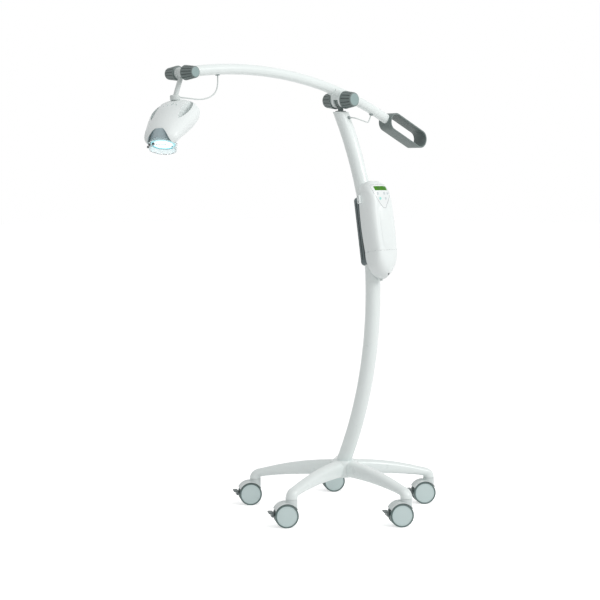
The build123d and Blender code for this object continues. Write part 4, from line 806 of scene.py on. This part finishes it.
starBase = {
    "legs": 5, "turn": -96.35, "reach": 0.307, "bottom": 0.088, "bendStart": 0.2924, "crown": 0.1395,
    "fall": 0.0325, "fallPower": 2.2, "elbow": 0.0384, "elbowDepth": 0.0362, "rim": 0.0006,
    "stations": [  # distance from the hub's centre, width, depth and squareness of the section
        (0.0, 0.0500, 0.0520, 3.0), (0.045, 0.0480, 0.0510, 3.0), (0.090, 0.0460, 0.0485, 2.9),
        (0.124, 0.0445, 0.0455, 2.8), (0.179, 0.0425, 0.0405, 2.6), (0.233, 0.0402, 0.0340, 2.5),
        (0.268, 0.0388, 0.0295, 2.3), (0.2924, 0.0384, 0.0285, 2.2),
    ],
}


def superRing(width, depth, power, angle):
    # |across| to the power plus |up| to the power is one on this outline
    across = np.sign(np.cos(angle)) * np.abs(np.cos(angle)) ** (2 / power) * width / 2
    up = np.sign(np.sin(angle)) * np.abs(np.sin(angle)) ** (2 / power) * depth / 2
    return across, up


def legHeading(number):
    heading = math.radians(starBase["turn"] + 360 / starBase["legs"] * number)
    return np.array([math.cos(heading), math.sin(heading), 0])


def legSurface(number, beamRows=60, bendRows=26, around=48):
    # sections stand across a line at crown - fall * (share of the reach) ** power, a bend and a drop
    start, fall, fallPower = starBase["bendStart"], starBase["fall"], starBase["fallPower"]
    reach = np.linspace(0, start, beamRows)
    height = starBase["crown"] - fall * (reach / start) ** fallPower
    lean = np.arctan(fallPower * fall / start * (reach / start) ** (fallPower - 1))
    bend = (starBase["reach"] - start) / (1 - math.sin(lean[-1]))
    turn = np.linspace(lean[-1], np.pi / 2, bendRows)[1:]
    bendReach = start + bend * (np.sin(turn) - math.sin(lean[-1]))
    bendHeight = height[-1] - bend * (math.cos(lean[-1]) - np.cos(turn))
    reach = np.concatenate([reach, bendReach, [starBase["reach"]] * 3])
    bottom, rim = starBase["bottom"], starBase["rim"]
    height = np.concatenate([height, bendHeight, [bottom + rim, bottom, bottom]])
    lean = np.concatenate([lean, turn, [np.pi / 2] * 3])
    stations = np.array(starBase["stations"])
    width, depth, power = [np.interp(reach, stations[:, 0], stations[:, i]) for i in (1, 2, 3)]
    share = np.concatenate([np.zeros(beamRows), np.linspace(0, 1, bendRows)[1:], [1, 1, 1]])
    share = share * share * (3 - 2 * share)
    width = width + (starBase["elbow"] - width) * share
    depth = depth + (starBase["elbowDepth"] - depth) * share
    power = power + (2.0 - power) * share
    shrink = np.concatenate([[0], np.ones(len(reach) - 3), [1 - rim / starBase["elbow"] * 2, 0]])
    angle = roundAngles(around)[None]
    across, up = superRing(width[:, None], depth[:, None], power[:, None], angle)
    across, up = across * shrink[:, None], up * shrink[:, None]
    outwards = legHeading(number)
    sideways = np.cross((0, 0, 1), outwards)
    radial = reach[:, None] + up * np.sin(lean)[:, None]
    level = height[:, None] + up * np.cos(lean)[:, None]
    points = inFrame((0, 0, 0), (radial, outwards), (across, sideways), (level, (0, 0, 1)))
    return points, quadGrid(len(reach), around)


hub = {
    "profile": profileOf(
        (0, 0.113), (0.0400, 0.113),
        roundCorner((0.0410, 0.118), 0.005, -90, 0), roundCorner((0.0370, 0.1570), 0.009, 0, 90, 9),
        (0.0345, 0.1652), roundCorner((0.0335, 0.1650), 0.001, 0, 90, 4), (0, 0.166),
    ),
}
starSurfaces = [turnedSurface(hub["profile"], (0, 0, 0), (0, 0, 1), (1, 0, 0), 96)]
starSurfaces += [legSurface(number) for number in range(starBase["legs"])]
addPiece("archedStar", makeMesh("archedStar", starSurfaces), "stand", "white_enamel", ["star_base"])


elbowStem = {"radius": 0.0055, "foot": 0.0740, "top": 0.1040}


def stemSurface(number):
    # a plain pin with flat ends, pressed up into the elbow
    place = starBase["reach"] * legHeading(number)
    foot, top, radius = elbowStem["foot"], elbowStem["top"], elbowStem["radius"]
    profile = profileOf((0, foot), (radius, foot), (radius, top), (0, top))
    return turnedSurface(profile, place, (0, 0, 1), (1, 0, 0), 24)


stemMesh = makeMesh("elbow_stems", [stemSurface(number) for number in range(starBase["legs"])])
addPiece("elbow_stems", stemMesh, "stand", slotOf["caster_stems"], ["caster_stems"])


# Caster wheels: a tyre with a rounded edge and a faintly domed disc, twice on one axle

casterWheel = {
    "count": 5, "radius": 0.0375, "width": 0.019, "gap": 0.012, "edge": 0.0026, "disc": 0.0322,
    "groove": 0.0006, "dip": 0.0012, "dome": 0.0010, "axle": 0.004, "discFade": 0.0002, "faceFade": 0.001,
}


def wheelProfile():
    # from the axle out along the inner face, over the tyre, and back along the disc to the middle
    look = casterWheel
    inner = look["gap"] / 2
    outer = inner + look["width"]
    groove, dip = look["groove"], look["dip"]
    tyre = look["radius"] - look["edge"]
    spread = np.linspace(1, 0, 12)[1:]
    dome = look["dome"] * (1 - spread ** 2)
    disc = np.stack([(look["disc"] - groove) * spread, outer - dip + dome], axis=1)
    return profileOf(
        (0, inner), (tyre, inner),
        roundCorner((tyre, inner + look["edge"]), look["edge"], -90, 0),
        roundCorner((tyre, outer - look["edge"]), look["edge"], 0, 90),
        (look["disc"] + groove, outer), (look["disc"], outer - groove - dip),
        (look["disc"] - groove, outer - dip), disc,
    )


for number in range(1, casterWheel["count"] + 1):
    roll = joints[f"caster_{number}_roll"]
    axis = np.array(roll["axis"])
    middle = casterWheel["gap"] / 2 + casterWheel["width"] / 2
    axle = casterWheel["axle"]
    axleProfile = profileOf((0, -middle), (axle, -middle), (axle, middle), (0, middle))
    surfaces = [turnedSurface(wheelProfile(), roll["pos_m"], side * axis, around=112) for side in (1, -1)]
    surfaces.append(turnedSurface(axleProfile, roll["pos_m"], axis, around=24))
    name = f"caster_{number}_twin_wheels"
    mesh = makeMesh(name, surfaces, sharpAngle=35)
    fromMiddle, height = fromAxis(mesh, roll["pos_m"], axis)
    fade = casterWheel["faceFade"]
    outerHalf = ramp(np.abs(height), middle - fade, middle + fade)
    onDisc = ramp(-fromMiddle, -casterWheel["disc"] - casterWheel["discFade"], -casterWheel["disc"])
    writeMask(mesh, "pale", outerHalf * onDisc)
    addPiece(name, mesh, f"caster_{number}_pair", "caster_tyre", [f"caster_{number}_wheels"])
print("star base and wheels made")


# Clamp knobs: a tapered grip with narrow flutes darkened by painted shade, and a plain end face painted
# paler as painted light

knobLook = {
    "flutes": 14, "fluteDepth": 0.0015, "fluteWidth": 0.075, "fluteStart": 0.0006, "fluteEnd": 0.004,
    "fluteCore": 0.008, "rim": 0.0012, "rimEdge": 0.0003, "paleFade": 0.0015,
    # where painted shade darkens the flutes
    "grooveShadeDepth": (0.0003, 0.0012), "fluteShadeStart": (0.001, 0.003), "fluteShadeStop": 0.003,
}
pivotKnob = {"length": 0.0414, "inner": 0.029, "outer": 0.0233, "edge": 0.005}
tiltKnob = {"length": 0.045, "inner": 0.0225, "outer": 0.0175, "edge": 0.004}
knobs = {
    "pivot_knob_near": pivotKnob, "pivot_knob_far": pivotKnob,
    "tilt_knob_near": tiltKnob, "tilt_knob_far": tiltKnob,
}


def fluteDepths(size):
    def depth(radius, height, angle):
        # deepest in the middle of each flute, fading out before both ends of the grip
        spacing = 2 * np.pi / knobLook["flutes"]
        away = (angle + spacing / 2) % spacing - spacing / 2
        shape = np.exp(-(away / knobLook["fluteWidth"]) ** 2)
        fade = ramp(height, knobLook["fluteStart"], knobLook["fluteEnd"])
        fade = fade * ramp(-height, knobLook["rim"] - size["length"], -size["length"] + size["edge"])
        return knobLook["fluteDepth"] * shape * fade * (radius > knobLook["fluteCore"])
    return depth


def knobProfile(size):
    # a flat inner face, a straight taper, a rounded shoulder and a flat outer face
    edge, length, inner, outer = size["edge"], size["length"], size["inner"], size["outer"]
    rim, rimEdge = knobLook["rim"], knobLook["rimEdge"]
    shoulder = roundCorner((outer - edge, length - edge), edge, 0, 90, 10)
    taper = np.linspace((inner, rim), (outer, length - edge), 22)
    endFace = np.linspace((outer - edge, length), (0, length), 6)[1:]
    start = ((0, 0), (inner - rim, 0), (inner - rimEdge, rimEdge))
    return profileOf(start, taper[:-1], shoulder, endFace)


for name, size in knobs.items():
    turn = joints[name + "_turn"]
    surface = turnedSurface(knobProfile(size), turn["pos_m"], turn["axis"], around=336,
                            flutes=fluteDepths(size))
    mesh = makeMesh(name + "_grip", [surface], sharpAngle=50)
    length, taperEnd = size["length"], size["length"] - size["edge"]
    flat = size["outer"] - size["edge"]
    fromMiddle, height = fromAxis(mesh, turn["pos_m"], turn["axis"])
    # the end face is painted paler than the taper as painted light
    litEndFace = ramp(-fromMiddle, -flat - knobLook["paleFade"], -flat)
    writeMask(mesh, "pale", litEndFace * ramp(height, length * 0.9, length * 0.99))
    # painted shade in the flutes, darker the deeper a point lies under the plain taper
    plainRadius = size["inner"] + (size["outer"] - size["inner"]) * height / taperEnd
    paintedFluteShade = ramp(plainRadius - fromMiddle, *knobLook["grooveShadeDepth"])
    paintedFluteShade = paintedFluteShade * ramp(-height, knobLook["fluteShadeStop"] - length, -taperEnd)
    writeMask(mesh, "dark", paintedFluteShade * ramp(height, *knobLook["fluteShadeStart"]))
    addPiece(name + "_grip", mesh, turn["child"], "grey_plastic", [name])
print("knobs made")


# Light port: a domed lens that glows, with each point's share of the way to the rim as an attribute

portMount = mounts["guide_port"]
lens = {"radius": 0.0350, "thickness": 0.004, "edge": 0.001, "dome": 0.0008, "mouthDepth": 0.00705}
portAxis = np.array(portMount["axis"])
portMouth = np.array(portMount["pos_m"]) - portAxis * lens["mouthDepth"]
spread = np.linspace(0, 1, 20)
lensHeight = -lens["edge"] * 0.2 + lens["dome"] * (1 - spread ** 2) - lens["dome"]
lensProfile = profileOf(
    np.stack([(lens["radius"] - lens["edge"]) * spread, lensHeight], axis=1),
    (lens["radius"], -lens["edge"]), (lens["radius"], -lens["thickness"]), (0, -lens["thickness"]),
)
lensMesh = makeMesh("glowing_lens", [turnedSurface(lensProfile, portMouth, portAxis, around=96)])
writeMask(lensMesh, "rim", fromAxis(lensMesh, portMouth, portAxis)[0] / lens["radius"])
addPiece("glowing_lens", lensMesh, "head", "lens_glass", ["port_lens"])
print("lens made")


# Control unit: the display's plain figures, and the thin dark line round the keypad and at the lower cover

unitFace = {
    "height": 0.9205, "inkDepth": 0.00025, "display": (0.0, 0.129), "digits": "20 15",
    "digitHeight": 0.0068, "digitPitch": 0.0072, "stroke": 0.0009, "keypadTop": 0.142,
    "keypadHalf": 0.037, "keypadLength": 0.077, "seam": -0.069, "seamDepth": 0.033, "lineWidth": 0.0009,
    "lineProud": 0.0001,
    "shells": ("unit_front_shell", "unit_lower_cover", "unit_rear_shell", "keypad_panel", "display_window"),
}
bendY, bendZ = mastCentre()
unitLean = math.asin((unitFace["height"] - bendZ) / mast["bend"])
unitUp = np.array([0, math.sin(unitLean), math.cos(unitLean)])
unitOut = np.array([0, -math.cos(unitLean), math.sin(unitLean)])
unitY = bendY - math.sqrt(mast["bend"] ** 2 - (unitFace["height"] - bendZ) ** 2)
unitOrigin = np.array([0, unitY, unitFace["height"]])
shapes = bpy.context.evaluated_depsgraph_get()
unitTrees = [BVHTree.FromObject(nodes[node], shapes) for node in unitFace["shells"]]


def ontoUnit(spots, directions, proud):
    # where a line that comes in against each direction first meets the unit, then raised by a little
    landed = []
    for spot, direction in zip(spots, directions):
        start = Vector(spot + direction * 0.2)
        hits = [tree.ray_cast(start, Vector(-direction)) for tree in unitTrees]
        near = min((hit for hit in hits if hit[0] is not None), key=lambda hit: hit[3], default=None)
        landed.append(np.array(near[0]) + direction * proud if near else spot)
    return np.array(landed)


def onFront(across, up, proud):
    spots = inFrame(unitOrigin, (across, (1, 0, 0)), (up, unitUp))
    return ontoUnit(spots, np.tile(unitOut, (len(across), 1)), proud)


def smoothClosed(corners, count=180):
    # a closed line through a few corners: each span is a cubic whose ends lean along its neighbours
    corners = np.asarray(corners, float)
    before, after = np.roll(corners, 1, axis=0), np.roll(corners, -1, axis=0)
    lean = (after - before) / 2
    spot = np.arange(count) / count * len(corners)
    first = spot.astype(int)
    share = (spot - first)[:, None]
    second = (first + 1) % len(corners)
    fromFirst = (2 * share ** 3 - 3 * share ** 2 + 1) * corners[first]
    leanFirst = (share ** 3 - 2 * share ** 2 + share) * lean[first]
    fromSecond = (3 * share ** 2 - 2 * share ** 3) * corners[second]
    return fromFirst + leanFirst + fromSecond + (share ** 3 - share ** 2) * lean[second]


def ribbon(path, outwards, width, closed):
    # a flat strip with low sides: path + width * across + height * outwards
    run = np.gradient(path, axis=0)
    if closed:
        run = np.roll(path, -1, axis=0) - np.roll(path, 1, axis=0)
    run /= np.linalg.norm(run, axis=1, keepdims=True)
    across = np.cross(run, outwards)
    across /= np.linalg.norm(across, axis=1, keepdims=True)
    section = np.array([(-0.5, -0.3), (-0.4, 0.06), (0.4, 0.06), (0.5, -0.3)]) * width
    points = path[:, None] + section[None, :, :1] * across[:, None]
    points = points + section[None, :, 1:] * outwards[:, None]
    return points, quadGrid(len(path), len(section), closedRows=closed)


keypadShares = [(0.0, 0.0), (0.5, -0.012), (0.96, -0.055), (0.90, -0.45), (0.24, -0.95), (0.0, -1.0)]
mirrored = [(-across, up) for across, up in keypadShares[-2:0:-1]]
keypadSpan = (unitFace["keypadHalf"], unitFace["keypadLength"])
outline = smoothClosed(np.array(keypadShares + mirrored) * keypadSpan + (0, unitFace["keypadTop"]))
keypadLine = onFront(outline[:, 0], outline[:, 1], unitFace["lineProud"])
keypadRibbon = ribbon(keypadLine, np.tile(unitOut, (len(keypadLine), 1)), unitFace["lineWidth"], True)


# seven strokes of a figure, as their ends in shares of its width and height
strokes = {
    "top": ((0, 1), (1, 1)), "rightUpper": ((1, 1), (1, 0.5)), "rightLower": ((1, 0.5), (1, 0)),
    "bottom": ((0, 0), (1, 0)), "leftLower": ((0, 0.5), (0, 0)), "leftUpper": ((0, 1), (0, 0.5)),
    "middle": ((0, 0.5), (1, 0.5)),
}
figures = {
    "0": "top rightUpper rightLower bottom leftLower leftUpper", "1": "rightUpper rightLower",
    "2": "top rightUpper middle leftLower bottom", "5": "top leftUpper middle rightLower bottom",
}


def figureSurfaces():
    # each stroke is a flat box on the display
    surfaces = []
    height, pitch = unitFace["digitHeight"], unitFace["digitPitch"]
    width = height * 0.5
    middleX, middleUp = unitFace["display"]
    left = middleX - pitch * (len(unitFace["digits"]) - 1) / 2
    sides = np.array([(0, 1, 2, 3), (7, 6, 5, 4), (0, 4, 5, 1), (1, 5, 6, 2), (2, 6, 7, 3), (3, 7, 4, 0)])
    for place, figure in enumerate(unitFace["digits"]):
        for stroke in figures.get(figure, "").split():
            ends = np.array(strokes[stroke]) * (width, height)
            ends = ends + (left + place * pitch - width / 2, middleUp - height / 2)
            run = (ends[1] - ends[0]) / np.linalg.norm(ends[1] - ends[0])
            side = np.array([-run[1], run[0]]) * unitFace["stroke"] / 2
            corners = np.array([ends[0] - side, ends[1] - side, ends[1] + side, ends[0] + side])
            top = onFront(corners[:, 0], corners[:, 1], unitFace["inkDepth"])
            surfaces.append((np.concatenate([top, top - unitOut * unitFace["inkDepth"] * 2]), sides))
    return surfaces


# Clamp cover behind the unit: a tray with rounded ends and long grooves down its sides and its back,
# darkened with painted shade

clampCover = {
    "halfWidth": 0.029, "front": 0.018, "back": -0.033, "length": 0.221, "middle": 0.003,
    "corner": 0.014, "endRound": 0.012, "grooveDepth": 0.0013, "grooveHalf": 0.0018, "grooveEnd": 0.016,
    "grooveFade": 0.003, "grooveShadeDepth": (0.0003, 0.0010),
    "grooves": (0.014, 0.024, 0.034, 0.050, 0.062, 0.074, 0.086, 0.098, 0.114, 0.124, 0.134),
}


def clampSurface(rows=70, columns=240):
    # a U-shaped outline, moved inwards by the groove's depth and by the rounding of both ends, which is
    # radius - sqrt(radius ** 2 - distance into the end ** 2)
    look = clampCover
    side = look["front"] - look["back"] - look["corner"]
    quarter = look["corner"] * np.pi / 2
    flat = 2 * (look["halfWidth"] - look["corner"])
    total = 2 * side + 2 * quarter + flat
    run = np.linspace(0, total, columns)
    firstTurn = np.clip((run - side) / look["corner"], 0, np.pi / 2)
    secondTurn = np.clip((run - side - quarter - flat) / look["corner"], 0, np.pi / 2)
    turn = firstTurn + secondTurn
    across = look["corner"] * (1 - np.cos(firstTurn) + np.sin(secondTurn)) - look["halfWidth"]
    across += np.clip(run - side - quarter, 0, flat)
    depth = look["front"] - np.clip(run, 0, side) + np.clip(run - total + side, 0, side)
    depth -= look["corner"] * (np.sin(firstTurn) + np.cos(secondTurn) - 1)
    half = look["length"] / 2
    ends = half - look["endRound"] * (1 - np.cos(np.linspace(0, np.pi / 2, 10)))
    straight = np.linspace(look["endRound"] - half, half - look["endRound"], rows)
    up = np.unique(np.concatenate([straight, ends, -ends]))
    into = np.clip(look["endRound"] - half + np.abs(up), 0, look["endRound"])
    inset = look["endRound"] - np.sqrt(look["endRound"] ** 2 - into ** 2)
    away = np.min(np.abs(run[:, None] - np.array(look["grooves"])), axis=1)
    fade = ramp(half - np.abs(up), look["grooveEnd"], look["grooveEnd"] + look["grooveFade"])
    drawn = inset[:, None] + fade[:, None] * np.exp(-(away / look["grooveHalf"]) ** 4) * look["grooveDepth"]
    x = across + np.cos(turn) * drawn
    z = depth + np.sin(turn) * drawn
    y = np.broadcast_to(look["middle"] + up[:, None], x.shape)
    points = inFrame(unitOrigin, (x, (1, 0, 0)), (y, unitUp), (z, unitOut))
    caps = points[[0, -1]].mean(axis=1, keepdims=True).repeat(columns, axis=1)
    points = np.concatenate([caps[:1], points, caps[1:]])
    return points, quadGrid(len(points), columns)


def grooveShadeMask(mesh):
    # how deep each point lies under the plain rounded outline, away from both ends, as the share of painted
    # shade in the grooves
    look = clampCover
    points = pointsOf(mesh) - unitOrigin
    side = np.abs(points[:, 0]) - look["halfWidth"] + look["corner"]
    behind = look["back"] + look["corner"] - points @ unitOut
    beyond = np.hypot(np.maximum(side, 0), np.maximum(behind, 0)) - look["corner"]
    beyond += np.minimum(np.maximum(side, behind), 0)
    along = look["length"] / 2 - np.abs(points @ unitUp - look["middle"])
    fade = ramp(along, look["grooveEnd"], look["grooveEnd"] + look["grooveFade"])
    return ramp(-beyond, *look["grooveShadeDepth"]) * fade


clampMesh = makeMesh("clamp_tray", [clampSurface()], sharpAngle=50)
# the grooves are darkened with painted shade
writeMask(clampMesh, "dark", grooveShadeMask(clampMesh))
addPiece("clamp_tray", clampMesh, "stand", slotOf["clamp_cover"], ["clamp_cover"], "clamp_plastic")


# The unit's lines and figures, each laid onto its shells

keypadMesh = makeMesh("keypad_edge_line", [keypadRibbon])
addPiece("keypad_edge_line", keypadMesh, "stand", "dark_plastic", look="seam_shade")
addPiece("display_figures", makeMesh("display_figures", figureSurfaces()), "stand", "dark_plastic")


def seamPath(count=90):
    # the lower cover's joint, met from the left round the front to the right
    angle = np.linspace(np.radians(186), np.radians(-6), count)
    directions = np.cos(angle)[:, None] * np.array([1, 0, 0]) + np.sin(angle)[:, None] * unitOut
    base = unitOrigin + unitUp * unitFace["seam"] + unitOut * unitFace["seamDepth"]
    return ontoUnit(np.tile(base, (count, 1)), directions, unitFace["lineProud"]), directions


seamLine, seamDirections = seamPath()
seamRibbon = ribbon(seamLine, seamDirections, unitFace["lineWidth"], False)
seamMesh = makeMesh("cover_seam_line", [seamRibbon])
addPiece("cover_seam_line", seamMesh, "stand", "dark_plastic", look="seam_shade")
print("keypad line, figures and seam made")


# Nodes that keep their solid's shape, smoothed

for node in sorted(nodes):
    if not nodes[node].hide_render:
        smoothCopy(node)
print("smooth copies made")


# Floor, light and white surroundings

studio = {"key": 102.0, "overhead": 42.0, "fill": 4.0, "ambient": 0.44, "floorGlow": 0.58}


def seenBehind(tree):
    # one where the surface is looked at directly, in a gloss or through something clear
    path = tree.nodes.new("ShaderNodeLightPath")
    seen = mathNode(tree, "MAXIMUM", path.outputs["Is Camera Ray"], path.outputs["Is Glossy Ray"])
    return mathNode(tree, "MAXIMUM", seen, path.outputs["Is Transmission Ray"])


def paleFloor():
    reach = 30.0
    corners = np.array([(-reach, -reach, 0), (reach, -reach, 0), (reach, reach, 0), (-reach, reach, 0)])
    mesh = bpy.data.meshes.new("floor")
    mesh.from_pydata(corners.tolist(), [], [(0, 1, 2, 3)])
    material, tree, shader, vector = startMaterial("paleFloor")
    tone = mapNode(tree, noiseNode(tree, vector, 2.0, 3), 0.3, 0.7, 0.955, 0.965)
    feed(tree, shader, {
        "Base Color": tone, "Roughness": 0.9, "Specular IOR Level": 0.1, "Emission Color": (1, 1, 1),
        "Emission Strength": mathNode(tree, "MULTIPLY", seenBehind(tree), studio["floorGlow"]),
    })
    mesh.materials.append(material)
    placeObject("floor", mesh)


def softLamp(name, place, aim, size, power, colour):
    data = bpy.data.lights.new(name, "AREA")
    data.shape = "DISK"
    data.size = size
    data.energy = power
    data.color = colour
    lamp = placeObject(name, data)
    lamp.location = place
    lamp.rotation_euler = (Vector(aim) - Vector(place)).to_track_quat("-Z", "Y").to_euler()


def whiteSurroundings():
    world = bpy.data.worlds.new("whiteRoom")
    scene.world = world
    world.use_nodes = True
    tree = world.node_tree
    strength = mapNode(tree, seenBehind(tree), 0.0, 1.0, studio["ambient"], 1.0)
    feed(tree, tree.nodes["Background"], {"Color": (1, 1, 1), "Strength": strength})


paleFloor()
softLamp("keyLamp", (1.6, -4.2, 3.4), (0, 0, 0.9), 2.4, studio["key"], (1.0, 0.995, 0.985))
softLamp("overheadLamp", (-0.9, -2.2, 4.7), (0, 0, 0.9), 2.6, studio["overhead"], (1.0, 1.0, 0.995))
softLamp("fillLamp", (-4.0, 0.6, 2.6), (0, 0, 0.9), 3.0, studio["fill"], (0.96, 0.99, 1.0))
whiteSurroundings()
scene.view_settings.view_transform = "Standard"
